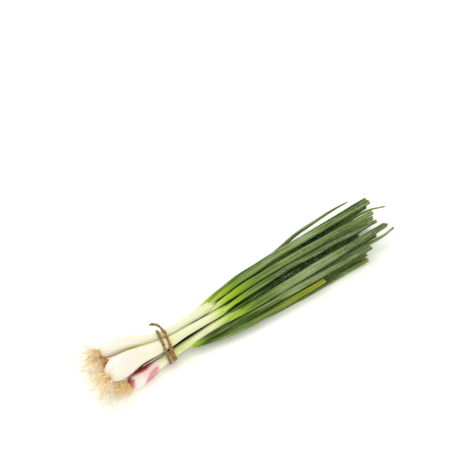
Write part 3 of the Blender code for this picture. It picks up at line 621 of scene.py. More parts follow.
LEAF_TONES = {  # how light the green is at x: 0 deep in the shade, 1 in full light
    "a1": [(60, 0.5), (150, 0.55), (192, 0.45), (208, 0.22), (270, 0.25)],
    "a2": [(80, 0.82), (108, 0.98), (150, 0.84), (190, 0.84), (225, 0.6)],
    "a3": [(80, 0.66), (190, 0.7), (225, 0.6)],
    "a4": [(60, 0.1), (120, 0.1), (138, 0.8), (165, 0.75), (195, 0.1), (270, 0.3)],
    "a5": [(60, 0.4), (270, 0.5)],
    "b1": [(80, 0.62), (150, 0.5), (190, 0.4), (261, 0.42)],
    "b2": [(60, 0.05), (244, 0.1)],
    "b3": [(60, 0.1), (150, 0.3), (190, 0.5), (268, 0.75)],
    "c1": [(80, 0.4), (115, 0.46), (150, 0.84), (190, 0.7), (225, 0.42)],
    "c2": [(27, 0.5), (70, 0.48), (105, 0.5), (140, 0.82), (190, 0.6), (240, 0.5)],
    "c3": [(27, 0.6), (70, 0.9), (110, 0.75), (175, 0.62)],
    "c4": [(27, 0.3), (150, 0.5), (185, 0.62), (233, 0.55)],
    "c5": [(60, 0.5), (100, 0.36), (150, 0.34), (190, 0.1)],
    "d1": [(50, 0.05), (200, 0.15), (257, 0.4)],
    "d2": [(50, 0.1), (150, 0.4), (185, 1.0), (225, 0.85), (250, 0.85)],
    "d3": [(50, 0.1), (180, 0.25), (236, 0.4)],
    "d4": [(50, 0.1), (230, 0.4), (280, 0.7)],
    "d5": [(50, 0.05), (266, 0.1)],
}
GREENS_BEFORE = {  # how far before its start a leaf has begun to green, where it isn't 5 mm
    "a1": 4.0, "a2": 1.0, "a3": -7.0, "b1": 1.0, "c1": -3.0, "c2": 8.0, "c3": 8.0, "c4": 8.0}
YELLOWING = {  # how yellow a leaf has turned, and from where to where along the bunch
    "c3": (1.0, 85.0, 165.0), "c4": (0.8, 219.0, 233.0), "d4": (0.5, 180.0, 280.0)}
TIPS = {"a5": (0.5, 4.0), "d2": (1.35, 6.0), "d4": (1.0, 3.0)}  # a point's half width and withered length
CREASE_SHADES = {  # painted shade: dark lines between leaves that lie close, and along the lower side of some leaves: x from and to, angle, spread, depth
    "a1": [(46.0, 84.0, 150.0, 34.0, 0.85), (90.0, 270.0, 222.0, 34.0, 0.5)],
    "a2": [(60.0, 110.0, 205.0, 50.0, 0.9), (50.0, 108.0, 44.0, 22.0, 0.85),
           (104.0, 270.0, 222.0, 34.0, 0.5)],
    "b1": [(90.0, 200.0, 42.0, 26.0, 0.7), (90.0, 258.0, 222.0, 34.0, 0.5)],
    "b2": [(80.0, 150.0, 127.0, 60.0, 0.4)],
    "c1": [(56.0, 120.0, 225.0, 40.0, 0.7), (112.0, 262.0, 222.0, 34.0, 0.5)],
    "c2": [(30.0, 128.0, 44.0, 44.0, 0.95), (116.0, 236.0, 203.0, 34.0, 0.75)],
    "c5": [(106.0, 200.0, 42.0, 30.0, 0.7)],
}
CREASE_SHADE_ENDS = (8.0, 12.0)  # how softly a shaded line starts and ends, in mm
LIGHT_EDGES = {  # where a fold stands to the light: x from and to, angle, spread, how much lighter
    "a3": [(90.0, 280.0, 200.0, 30.0, 0.25)],
    "c2": [(50.0, 130.0, 205.0, 26.0, 0.5)],
    "c4": [(120.0, 232.0, 216.0, 46.0, 0.7)],
    "c5": [(56.0, 100.0, 190.0, 30.0, 0.4)],
}
LIGHT_ENDS = (12.0, 12.0)
LEAF_WANDER = [(2.0, 3), (1.2, 7)]  # the uneven line that a leaf greens and yellows to: size, waves round
WAX_FROM, WAX_LENGTH = 80.0, 80.0  # where the wax bloom starts, and how far on it is whole


def stem_at(key, x):
    """The middle y and z and the half sizes of an onion's stem at x."""
    rows = smooth_rows(ONION_AXES[key], ROWS_PER_SPAN)
    return np.array([np.interp(x, rows[:, 0], rows[:, i]) for i in (1, 2, 3, 4)])


def inside_stem(key, start, sheath):
    """Where a leaf starts, a sheath's length back inside its stem. It is off the stem's middle by 0.42
    of what it is where it breaks out, in proportion to the stem's half width at the two places."""
    here, deeper = stem_at(key, start[0]), stem_at(key, start[0] - sheath)
    lean = (start[1:] - here[:2]) * 0.42 * deeper[2] / max(here[2], 3.0)
    return (start[0] - sheath, *(deeper[:2] + lean))


def leaf_path(stations, x):
    """The smooth line through a leaf's stations at even x: over each span the cubic with the slopes
    that join each station's two neighbours."""
    places = np.array(stations, float)
    before = np.maximum(np.arange(len(places)) - 1, 0)
    after = np.minimum(np.arange(len(places)) + 1, len(places) - 1)
    slopes = (places[after, 1:] - places[before, 1:]) / (places[after, :1] - places[before, :1])
    span = np.clip(np.searchsorted(places[:, 0], x, side="right") - 1, 0, len(places) - 2)
    width = places[span + 1, :1] - places[span, :1]
    t = (x[:, None] - places[span, :1]) / width
    yz = ((2 * t ** 3 - 3 * t ** 2 + 1) * places[span, 1:]
          + (3 * t ** 2 - 2 * t ** 3) * places[span + 1, 1:]
          + width * (t ** 3 - 2 * t ** 2 + t) * slopes[span]
          + width * (t ** 3 - t ** 2) * slopes[span + 1])
    return np.column_stack([x, yz])


def cut_edge(ending, half_width, angles, rng):
    """How far a cut's edge stands off along the leaf at each angle. A slant goes with the cosine, a
    gable with the cosine's size and a scarf by a smooth step, and four sines are the torn fibres."""
    slant = CUT_SLANT if ending == "slant" else rng.uniform(-0.12, 0.12)
    fibres = sum(np.sin(k * angles + rng.uniform(0, 6)) for k in (3, 5, 8, 13)) / 2
    if ending == "scarf":
        return -SCARF_LENGTH * smooth_step((np.cos(angles - np.radians(105)) + 0.25) / 0.8)
    torn = (RAGGED_EDGE if ending == "ragged" else TORN_EDGE) * fibres
    if ending == "gable":
        return torn - GABLE_SLANT * half_width * np.abs(np.cos(angles) + 0.2)
    return torn + slant * half_width * np.cos(angles)


def leaf_masks(name, past, half_width, rim, inside, rng):
    """How green, waxy, shaded, yellow or dry a leaf is at each point, from how far past its start the
    point lies and from its angle round the leaf."""
    angles = ring_angles(LEAF_COLUMNS)
    degrees = np.degrees(angles)
    past_start = past[:, None] + 0 * angles
    x = LEAF_LINES[name][0][0] + past_start
    wander = sum(size * np.sin(waves * angles + rng.uniform(0, 6)) for size, waves in LEAF_WANDER)
    green_for = np.maximum(past_start + wander + GREENS_BEFORE.get(name, 5.0), 0.0)
    masks = {
        "young": np.exp(-green_for / LEAVES[name][7]),
        "lit_tone": np.interp(x, *np.array(LEAF_TONES[name], float).T)
                + bands(x, degrees, LIGHT_EDGES.get(name, ()), LIGHT_ENDS),
        "yellow": 0 * x,
        "crease_shade": bands(x, degrees, CREASE_SHADES.get(name, ()), CREASE_SHADE_ENDS),
        "bloom": smooth_step((x - WAX_FROM) / WAX_LENGTH),
        "rim": rim,
        "inside": inside,
        "dry": 0 * x,
        "grain": skin_grain(past, half_width, LEAF_COLUMNS) + rng.uniform(0, 300, 3),
    }
    if name in YELLOWING:
        amount, first, last = YELLOWING[name]
        masks["yellow"] = amount * smooth_step((x + wander - first) / (last - first))
    if name in TIPS:
        masks["dry"] = smooth_step((x - LEAF_LINES[name][-1][0]) / TIPS[name][1] + 1.0)
    return masks


def inner_wall(path, half_width, half_height, roll, swell, push):
    """The inside of a cut leaf, from its rim back: a wall's thickness in from the outer rings there,
    and closing a little down the tube. Gives its rings and their half widths."""
    last = slice(len(path) - int(INNER_LENGTH / LEAF_STEP), None)
    shrink = np.linspace(INNER_SHRINK, 1.0, len(path[last]))
    inner_width = (half_width[last] - LEAF_WALL * np.minimum(half_width[last], 1.0)) * shrink
    inner_height = (half_height[last] - LEAF_WALL * np.minimum(half_height[last], 1.0)) * shrink
    rings = tube_rings(path[last], inner_width, inner_height, roll[last], LEAF_COLUMNS, swell[last],
                       push[last], LEAF_FULLNESS)
    return rings[::-1], inner_width[::-1]


def leaf_rings(name, rng):
    """One leaf's rings and masks. It starts inside its stem, just under the skin, opens over its first
    stretch and narrows to its end. A cut leaf is open, with an inner wall that runs back from the rim."""
    width, height, first_roll, last_roll, ending, _, sheath, _ = LEAVES[name]
    start, end = np.array(LEAF_LINES[name][0], float), LEAF_LINES[name][-1][0]
    back = start[0] - sheath
    x = np.linspace(back, end, int((end - back) / LEAF_STEP))
    past = x - start[0]
    along = np.clip(past / (end - start[0]), 0, 1)
    share = LEAF_TONGUE + (1 - LEAF_TONGUE) * smooth_step((past + sheath) / (sheath + LEAF_WIDENING))
    if ending == "point":
        share = share * np.maximum((1 - along) ** 0.32, TIPS[name][0] / (0.5 * width))
        share[-1] *= 0.5
    else:
        late = np.clip((along - NARROWS_FROM) / (1 - NARROWS_FROM), 0, 1)
        share = share * (1 - LEAF_NARROWING * late ** 1.3)
    uneven = {what: ripple(rng, x, *LEAF_RIPPLES[what])
              for what in ("width", "height", "sideways", "upward", "roll")}
    half_width = 0.5 * width * share * (1 + uneven["width"])
    half_height = 0.5 * height * share * (1 + uneven["height"])
    path = leaf_path([inside_stem(name[0], start, sheath), *LEAF_LINES[name]], x)
    sway = np.column_stack([uneven["sideways"], uneven["upward"]])
    path[:, 1:] += smooth_step(past / SWAY_LENGTH)[:, None] * sway
    roll = np.radians(first_roll + (last_roll - first_roll) * along + uneven["roll"])
    angles = ring_angles(LEAF_COLUMNS)
    groove = np.exp(-((angles - np.radians(rng.uniform(*GROOVE_BETWEEN))) / GROOVE_SPREAD) ** 2)
    depth = GROOVE_DEPTH + ripple(rng, x, *LEAF_RIPPLES["groove"])
    swell = ripple(rng, x, *LEAF_RIPPLES["wall"])[:, None] * np.cos(3 * angles)
    swell = swell - depth[:, None] * groove
    push = np.zeros((len(x), LEAF_COLUMNS))
    if ending != "point":
        moved = SCARF_ROWS if ending == "scarf" else CUT_ROWS
        edge = cut_edge(ending, half_width[-1], angles, rng)
        push[-moved:] = edge * np.linspace(0, 1, moved)[:, None]
    rings = tube_rings(path, half_width, half_height, roll, LEAF_COLUMNS, swell, push, LEAF_FULLNESS)
    rim, inside = 0 * push, 0 * push
    if ending != "point":
        wall, wall_width = inner_wall(path, half_width, half_height, roll, swell, push)
        rim = rim + smooth_step((x - end + RIM_LENGTH) / RIM_LENGTH)[:, None]
        rings = np.concatenate([rings, wall])
        half_width = np.concatenate([half_width, wall_width])
        inside = np.concatenate([inside, np.ones(wall.shape[:2])])
        rim = np.concatenate([rim, rim[:-len(wall) - 1:-1]])
        past = np.concatenate([past, past[:-len(wall) - 1:-1]])
    rings[..., 2] = np.maximum(rings[..., 2], 0.0)
    return one_tube(rings, leaf_masks(name, past, half_width, rim, inside, rng))


LEAF_FINISHES = {  # how much grey wax bloom lies on the leaf, and how strongly it shines
    "fresh": (0.42, 0.12),
    "waxy": (0.65, 0.14),
    # The deep finish is for the leaves that lie in shade inside the bunch: their thinner wax is painted
    # shade.
    "deep": (0.25, 0.06),
    "yellowing": (0.30, 0.12),
}


def waxy_leaf(name, wax, shine):
    """A fresh onion leaf: smooth tissue with fine parallel veins, and a bloom of grey-blue wax that
    is rubbed off in places. It reads as a soft sheen, dusty where the wax is whole."""
    material, tree = new_material(name)
    mask = read_masks(tree, ["lit_tone", "bloom", "young", "yellow", "crease_shade", "rim", "inside", "dry"])
    # Veins lie about 0.7 mm apart, broad streaks some 2 mm, the wax is rubbed in patches of 15 mm, and
    # small pale scuffs lie all over it.
    pattern = grain_patterns(tree, [
        ("veins", 0.02, 1.4, 3.0), ("streaks", 0.010, 0.5, 3.0), ("wax", 0.045, 0.25, 5.0),
        ("scuffs", 0.40, 0.9, 2.0)])
    mixed = add_node(tree, "ShaderNodeMath", {0: pattern["veins"], 1: pattern["streaks"]},
                     operation="ADD")
    # Painted light and shade: the tone sets how light the green is along each leaf, with the veins and
    # streaks on top.
    streaked = add_node(tree, "ShaderNodeMath", {0: mixed, 1: 2.2, 2: mask["lit_tone"]},
                        operation="MULTIPLY_ADD")
    lit_tone = add_node(tree, "ShaderNodeMath", {0: streaked, 1: 2.2}, operation="SUBTRACT")
    tissue = add_node(tree, "ShaderNodeValToRGB", {"Fac": lit_tone}, stops=[
        (0.0, "#0d1503"), (0.25, "#2a390d"), (0.50, "#4a5e1e"), (0.75, "#647a36"),
        (1.0, "#84945a")])
    # The wax bloom shows only as far as the painted light of the tone lets it.
    dusted = add_node(tree, "ShaderNodeMapRange", {
        "Value": pattern["wax"], "From Min": 0.42, "From Max": 0.66, "To Max": wax})
    dusted = add_node(tree, "ShaderNodeMath", {0: dusted, 1: mask["lit_tone"]}, operation="MULTIPLY")
    dusted = add_node(tree, "ShaderNodeMath", {0: dusted, 1: mask["bloom"]}, operation="MULTIPLY")
    scuffed = add_node(tree, "ShaderNodeMapRange", {
        "Value": pattern["scuffs"], "From Min": 0.54, "From Max": 0.72, "To Max": 0.6})
    scuffed = add_node(tree, "ShaderNodeMath", {0: scuffed, 1: mask["bloom"]}, operation="MULTIPLY")
    young = add_node(tree, "ShaderNodeValToRGB", {"Fac": mask["young"]}, stops=[
        (0.12, "#607d26"), (0.38, "#7a981d"), (0.70, "#9eb535"), (1.0, "#d3d89a")])
    # The yellowed green is lighter or darker by the same painted light.
    yellow = add_node(tree, "ShaderNodeValToRGB", {"Fac": lit_tone}, stops=[
        (0.2, "#687018"), (0.9, "#949c28")])
    withered = add_node(tree, "ShaderNodeValToRGB", {"Fac": pattern["veins"]}, stops=[
        (0.35, "#4a3818"), (0.65, "#8a7440")])
    colour = lay_tints(tree, tissue, [
        (dusted, 0.0, 1.0, linear("#889578")), (scuffed, 0.0, 1.0, linear("#9aa68a")),
        (mask["young"], 0.03, 0.38, young), (mask["yellow"], 0.0, 1.0, yellow),
        # Painted shade: the dark green of the crease mask.
        (mask["crease_shade"], 0.0, 1.0, linear("#1a2606")), (mask["rim"], 0.0, 2.0, linear("#a9b76c")),
        (mask["inside"], 0.0, 1.0, linear("#6f8044")), (mask["dry"], 0.0, 1.0, withered)])
    height = add_node(tree, "ShaderNodeMath", {0: pattern["veins"], 1: pattern["wax"]}, operation="ADD")
    bump = add_node(tree, "ShaderNodeBump", {
        "Height": height, "Strength": 0.5, "Distance": 0.25 * MM})
    rough = add_node(tree, "ShaderNodeMapRange", {
        "Value": pattern["wax"], "From Min": 0.35, "From Max": 0.7,
        "To Min": 0.34, "To Max": 0.58})
    shader = add_node(tree, "ShaderNodeBsdfPrincipled", {
        "Base Color": colour, "Roughness": rough, "IOR": 1.45, "Specular IOR Level": shine,
        "Normal": bump})
    add_node(tree, "ShaderNodeOutputMaterial", {"Surface": shader})
    return material


leaf_materials = {
    finish: waxy_leaf(f"{finish}_leaf", wax, shine) for finish, (wax, shine) in LEAF_FINISHES.items()}
leaf_rng = np.random.default_rng(23)
for name, (*_, finish, _, _) in LEAVES.items():
    leaf_mesh = skin_mesh(f"hollow_leaf_{name}", *leaf_rings(name, leaf_rng))
    dress(f"hollow_leaf_{name}", leaf_mesh, leaf_materials[finish], "green_leaf", f"leaf_{name}")


# The roots: each bulb stands on a corky plate that carries hundreds of wiry roots. They dried after
# pulling: short stout ones crowd at the plate, deep tan where D's lie in the fork between A and B, and
# long thin straw-pale ones straggle out of them in loose arcs.
ROOT_ROWS = 18
ROOT_COLUMNS = 5
PLATE_RADIUS = 3.6
PLATE_HEIGHT = 1.5
PLATE_COLUMNS = 40
ROOT_FLOOR = 0.25  # the least height of a root's middle
ROOT_CLEARANCE = 0.35  # how far a root's middle stays off a bulb's skin
ROOT_LIMITS = ((-108.0, 200.0), (-40.0, 56.0), (0.0, 52.0))  # how far the stragglers may reach
SOFT_LIMIT = 8.0  # how far before its limit a root starts to be pressed back
TILT_NOISE = 12.0  # degrees that a root strays from its tilt
SLOW_BEND, QUICK_BEND = 0.25, 1.1  # waves along a root
SHADE_NOISE = 0.16  # how much paler or deeper one root is than the next
GREY_LENGTH = 18.0  # how far from the plate a root is as grey as it gets
ROOT_KINDS = {  # count, shortest and longest, stoutest radius, thinning, widest tilt, curl, sag, then
    # whether it keeps to its tuft's own reach and spread, how much paler it is, and how grey its tip
    "stout": (36, 8.0, 18.0, 0.50, 0.55, 66.0, 2.0, 1.5, True, 0.18, 0.2),
    "crowded": (110, 4.0, 14.0, 0.27, 0.50, 84.0, 2.0, 1.5, True, 0.05, 0.3),
    "stub": (9, 0.8, 1.8, 0.55, 0.20, 130.0, 0.2, 0.0, True, -0.60, 0.0),
    "long": (56, 14.0, 30.0, 0.16, 0.30, 95.0, 5.0, 3.0, False, 0.08, 0.55),
    "stray": (18, 22.0, 38.0, 0.17, 0.30, 125.0, 7.0, 4.0, False, 0.20, 0.9),
}
STUB_TUFTS = "ab"  # the tufts whose plates also carry dark stubs of broken roots
TUFTS = {  # the way the tuft leans from its plate, how pale it is, its reach and its spread
    "a": ((-0.5, 0.05, 0.15), 0.50, 1.05, 0.62), "b": ((-0.2, 0.05, -0.05), 0.50, 0.80, 1.0),
    "c": ((-0.9, 0.60, 0.45), 0.38, 1.10, 0.40), "d": ((-0.5, -0.25, 0.65), 0.22, 1.0, 0.80),
}
WISPS = {  # roots laid one by one, each in place of one of its kind, as places in mm from the tie
    ("a", "stout"): [
        [(-62, 21, 17), (-68.6, 15.2, 24.3), (-75.6, 12.7, 22.8), (-82, 10.5, 19.3)],
        [(-61, 23, 17), (-67, 18.5, 24), (-74, 17, 22.8), (-80, 16, 19)]],
    ("b", "stout"): [
        [(-70, -1, 20), (-73.5, 0.5, 23), (-77.7, 4.1, 22)],
        [(-71, -2.5, 19), (-75.5, -1, 22), (-79.5, 2.5, 21)]],
    ("a", "stray"): [
        [(-57.5, 31, 23), (-60, 37, 26), (-54, 43, 26), (-45, 43, 23), (-36, 40, 19), (-28, 36, 14)],
        [(-58, 30, 22), (-66, 38, 27), (-72, 46, 24), (-70, 52, 17), (-75, 55, 12)]],
    ("b", "stray"): [
        [(-70, -6, 24), (-77, -14, 19), (-80, -24, 11), (-77, -32, 4), (-80, -36, 1)],
        [(-71, -3, 26), (-80, -1, 30), (-90, -5, 30), (-96, -12, 24), (-93, -18, 16)]],
}


def plate_place(key):
    """The middle of a bulb's foot, and the way straight out of it."""
    rows = smooth_rows(ONION_AXES[key], 4)
    return rows[0, :3], unit(rows[0, :3] - rows[1, :3])


def root_paths(key, kind, rng):
    """Middle lines of one kind of root in a tuft, shaped (roots, rows, 3). Each leaves the plate
    outwards, tilted more the nearer it stands to the rim, bends by slow sines and sags."""
    count, shortest, longest, _, _, widest, curl, sag, keeps, _, _ = ROOT_KINDS[kind]
    lean, _, tuft_reach, tuft_spread = TUFTS[key]
    if keeps:
        shortest, longest, widest = shortest * tuft_reach, longest * tuft_reach, widest * tuft_spread
    base, outward = plate_place(key)
    level = unit(np.cross([0.0, 0.0, 1.0], outward))
    upward = np.cross(outward, level)
    turn = rng.uniform(0, 2 * np.pi, count)
    rim = np.sqrt(rng.uniform(0.02, 1, count))
    radial = np.cos(turn)[:, None] * level + np.sin(turn)[:, None] * upward
    tilt = rim * widest * rng.uniform(0.5, 1.0, count) + rng.normal(0, TILT_NOISE, count)
    tilt = np.radians(np.abs(tilt))
    way = unit(np.cos(tilt)[:, None] * outward + np.sin(tilt)[:, None] * radial + np.array(lean))
    length = shortest + (longest - shortest) * rng.uniform(0, 1, count) ** 1.5
    t = np.linspace(0, 1, ROOT_ROWS)[None, :, None]
    start = base + outward * 0.5 + radial * (rim * PLATE_RADIUS)[:, None]
    path = start[:, None, :] + way[:, None, :] * length[:, None, None] * t
    sideways = unit(np.cross(way, rng.normal(size=(count, 3))))[:, None, :]
    across = np.cross(way[:, None, :], sideways)
    for waves in (SLOW_BEND, QUICK_BEND):
        for bend in (sideways, across):
            size = curl * rng.uniform(0.3, 1.0, count)[:, None, None] / (0.5 + waves)
            turns = 2 * np.pi * waves * rng.uniform(0.8, 1.8, count)[:, None, None]
            phase = rng.uniform(0, 2 * np.pi, count)[:, None, None]
            path = path + bend * size * (np.sin(turns * t + phase) - np.sin(phase)) * t ** 0.6
    path[..., 2] -= rng.uniform(-0.4, 1.0, count)[:, None] * sag * t[..., 0] ** 2
    return path, length


def even_line(points, rows):
    """Points at even steps along the smooth line through the given ones."""
    fine = smooth_rows(np.array(points, float), 12)
    gone = np.concatenate([[0], np.cumsum(np.linalg.norm(np.diff(fine, axis=0), axis=1))])
    at = np.linspace(0, gone[-1], rows)
    return np.column_stack([np.interp(at, gone, fine[:, i]) for i in range(3)])


def push_clear(path, key):
    """Moves points out of the bulbs: from the axis point that covers a root's point most, straight
    out to its skin. A root's own bulb counts less near the plate that it starts from. Then a point
    near a limit is pressed back by the hyperbolic tangent of how far it is past the soft zone."""
    grown = np.clip(np.linspace(0, 1, path.shape[1]) * 3.0, 0, 1)[None, :, None]
    for _ in range(3):
        for other, axis in ONION_AXES.items():
            rows = smooth_rows(axis, 4)
            offset = path[:, :, None, :] - rows[:, :3]
            distance = np.linalg.norm(offset, axis=-1)
            radius = rows[:, 3] * (grown if other == key else 1.0) + ROOT_CLEARANCE
            cover = radius - distance
            worst = cover.argmax(axis=-1)[..., None]
            deep = np.maximum(np.take_along_axis(cover, worst, -1), 0)
            direction = np.take_along_axis(offset, worst[..., None], 2)[:, :, 0]
            reach = np.take_along_axis(distance, worst, -1)
            path = path + direction / np.maximum(reach, 0.01) * deep
    for axis, (low, high) in enumerate(ROOT_LIMITS):
        past = np.maximum(path[..., axis] - (high - SOFT_LIMIT), 0)
        short = np.maximum(low + SOFT_LIMIT - path[..., axis], 0) * (low < 0)
        path[..., axis] += SOFT_LIMIT * np.tanh(past / SOFT_LIMIT) - past
        path[..., axis] -= SOFT_LIMIT * np.tanh(short / SOFT_LIMIT) - short
    path[..., 2] = np.maximum(path[..., 2], ROOT_FLOOR)
    return path


def root_rings(key, kind, rng):
    """Rings and masks of one kind of root in a tuft. A root thins evenly to its tip, and greys with
    the square of how far along it is."""
    count, _, _, stoutest, thinning, *_, paler, greyer = ROOT_KINDS[kind]
    path, length = root_paths(key, kind, rng)
    for i, wisp in enumerate(WISPS.get((key, kind), ())):
        path[i] = even_line(wisp, ROOT_ROWS)
    path = push_clear(path, key)
    t = np.linspace(0, 1, ROOT_ROWS)
    radius = (stoutest * rng.uniform(0.55, 1.0, count))[:, None] * (1 - thinning * t)
    rings = tube_rings(path, radius, radius, 0.0, ROOT_COLUMNS)
    shade = TUFTS[key][1] + paler + rng.uniform(-SHADE_NOISE, SHADE_NOISE, count)
    grey = greyer * np.minimum(t * length[:, None] / GREY_LENGTH, 1) ** 2
    none = 0 * rings[..., 0]
    return rings, {"tip": grey[..., None] + none, "shade": shade[:, None, None] + none}


def plate_rings(key, rng):
    """The plate that the roots stand on: a low dome whose edge is scalloped, by two sines round it,
    where old roots broke off."""
    base, outward = plate_place(key)
    share = np.sin(np.linspace(0.1, np.pi / 2, 10))
    path = base + outward * (0.25 + PLATE_HEIGHT * np.sqrt(1 - share ** 2))[:, None]
    angles = ring_angles(PLATE_COLUMNS)
    scallops = 0.06 * np.sin(9 * angles) + 0.05 * np.sin(14 * angles + 1)
    radius = PLATE_RADIUS * share
    rings = tube_rings(path, radius, radius, 0.0, PLATE_COLUMNS, swell=scallops)
    return one_tube(rings, {"tip": 0 * rings[..., 0], "shade": rng.uniform(0, 0.4, rings.shape[:2])})


def dry_root():
    """Dried root: a wiry fibre with a dull skin, orange-tan where it is stout and moist near the plate,
    blond further out and grey at its thin end."""
    material, tree = new_material("dry_root")
    mask = read_masks(tree, ["tip", "shade"])
    place = add_node(tree, "ShaderNodeTexCoord", output="Object")
    mottle = add_node(tree, "ShaderNodeTexNoise", {
        "Vector": place, "Scale": 1.0 / (2.5 * MM), "Detail": 2.0})
    toned = add_node(tree, "ShaderNodeMath", {0: mask["tip"], 1: 0.55, 2: mask["shade"]},
                     operation="MULTIPLY_ADD")
    mottled = add_node(tree, "ShaderNodeMath", {0: mottle, 1: 0.3, 2: toned}, operation="MULTIPLY_ADD")
    colour = add_node(tree, "ShaderNodeValToRGB", {"Fac": mottled}, stops=[
        (0.0, "#4a3420"), (0.14, "#c86c10"), (0.32, "#e2902a"), (0.52, "#f0ba66"),
        (0.72, "#fadcaa"), (0.88, "#e4cfa6"), (1.0, "#b8a27a")])
    shader = add_node(tree, "ShaderNodeBsdfPrincipled", {
        "Base Color": colour, "Roughness": 0.62, "IOR": 1.5, "Subsurface Weight": 0.6,
        "Subsurface Radius": (1.0, 0.8, 0.5), "Subsurface Scale": 0.8 * MM})
    add_node(tree, "ShaderNodeOutputMaterial", {"Surface": shader})
    return material


root_material = dry_root()
root_rng = np.random.default_rng(41)
for key in ONION_AXES:
    for kind in ROOT_KINDS:
        if kind != "stub" or key in STUB_TUFTS:
            piece = f"{kind}_roots_{key}"
            roots = skin_mesh(piece, *root_rings(key, kind, root_rng))
            dress(piece, roots, root_material, "dry_root", f"roots_{key}")
    plate = skin_mesh(f"root_plate_{key}", *plate_rings(key, root_rng))
    dress(f"root_plate_{key}", plate, root_material, "dry_root", f"roots_{key}")


# The tie: one length of rough two-ply garden twine, wound twice round the four stems. One end stands
# off over the back, and the other comes over the first turn in front and is tucked underneath.
TWINE_REST = 1.25  # from the stems' outline to the strand's middle
TWINE_FRONT = 125.0  # degrees round the stems, from the back up and over to the front
TWINE_TURNS = (3.0, -3.5)  # where the first and the second turn lie along the stems
TWINE_LEANS = (2.0, -4.6)  # how far they lean over the top and in front
TWINE_START, TWINE_STOP = 60.0, 655.0  # degrees
TWINE_STATIONS = 80
CROSSING_START, CROSSING_LENGTH = 225.0, 160.0  # the degrees over which one turn becomes the other
LOOSE_END = [(-9.4, 9.2), (-5.6, 8.6), (-2.4, 6.4), (-0.8, 3.4), (-0.1, 1.0)]  # along, and off the stems
LOOSE_END_FROM, LOOSE_END_TO = 44.0, 47.0  # degrees
TAIL_START, TAIL_LENGTH = 136.0, 104.0  # degrees
TAIL_OFFSETS = (1.2, -3.5)  # where the tail lies beside the first turn, and how far it then crosses it
TAIL_LIFT = 1.3
TAIL_STATIONS = 13
TWINE_STEP = 0.4
PLY_PITCH = 6.6  # length of one full twist
PLY_OFFSET = 0.66  # from the strand's middle to a ply's
PLY_RADIUS = 0.84
PLY_COLUMNS = 14
PLY_ENDS = 2.0  # over how many mm a ply tapers at its ends
PLY_RIPPLES = {  # the size and wavelength of what makes the spinning uneven
    "twist": (0.7, 16.0), "offset": (0.30, 9.0), "thickness": (0.22, 6.0), "lumps": (0.10, 1.8)}
FUZZ_COUNTS = {"turns": 520, "tail": 86}
FUZZ_LENGTHS = (1.2, 3.2)
FUZZ_RADIUS = 0.07
FUZZ_ROWS = 6


def stems_reach(x, angle):
    """The stems' middle at x, and how far the tight outline round them stands off it at an angle: the
    least, over the outline's normals, of its support divided by the cosine to that angle."""
    stems = np.array([stem_at(key, x)[:3] for key in ONION_AXES])
    middle = stems[:, :2].mean(axis=0)
    normals = ring_angles(180)
    facing = np.cos(normals - angle)
    directions = np.stack([np.cos(normals), np.sin(normals)])
    support = ((stems[:, :2] - middle) @ directions + stems[:, 2:]).max(axis=0)
    return middle, (support[facing > 0.15] / facing[facing > 0.15]).min()


def twine_place(x, degrees, lift):
    """The strand's middle at x and at an angle round the stems, lifted off where it would rest."""
    angle = math.radians(degrees)
    middle, distance = stems_reach(x, angle)
    distance += TWINE_REST + lift
    return (x, middle[0] + distance * math.cos(angle), middle[1] + distance * math.sin(angle))


def twine_lean(degrees):
    """How far the turns lean along the stems, as two cosines: over the top and in front."""
    facing = math.radians(degrees - TWINE_FRONT)
    return TWINE_LEANS[0] * math.cos(facing + math.pi / 2) + TWINE_LEANS[1] * math.cos(facing)


def twine_lines():
    """The strand's two middle lines: the loose end with both turns, and the tail."""
    top_x = TWINE_TURNS[0] + twine_lean(TWINE_START)
    turned_back = (LOOSE_END_TO - LOOSE_END_FROM) / LOOSE_END[0][1]
    turns = [twine_place(top_x + along, LOOSE_END_TO - turned_back * lift, lift)
             for along, lift in LOOSE_END]
    for degrees in np.linspace(TWINE_START, TWINE_STOP, TWINE_STATIONS):
        moved = float(smooth_step((degrees - CROSSING_START) / CROSSING_LENGTH))
        x = TWINE_TURNS[0] + (TWINE_TURNS[1] - TWINE_TURNS[0]) * moved + twine_lean(degrees)
        turns.append(twine_place(x, degrees % 360, 0.0))
    tail = []
    for k in range(TAIL_STATIONS):
        degrees = TAIL_START + TAIL_LENGTH * k / (TAIL_STATIONS - 1)
        lift = TAIL_LIFT * math.sin(math.pi * min(1.0, k / 4))
        x = TWINE_TURNS[0] + twine_lean(degrees) + TAIL_OFFSETS[0] + TAIL_OFFSETS[1] * min(1.0, k / 3)
        tail.append(twine_place(x, degrees, lift))
    return {"turns": np.array(turns), "tail": np.array(tail)}


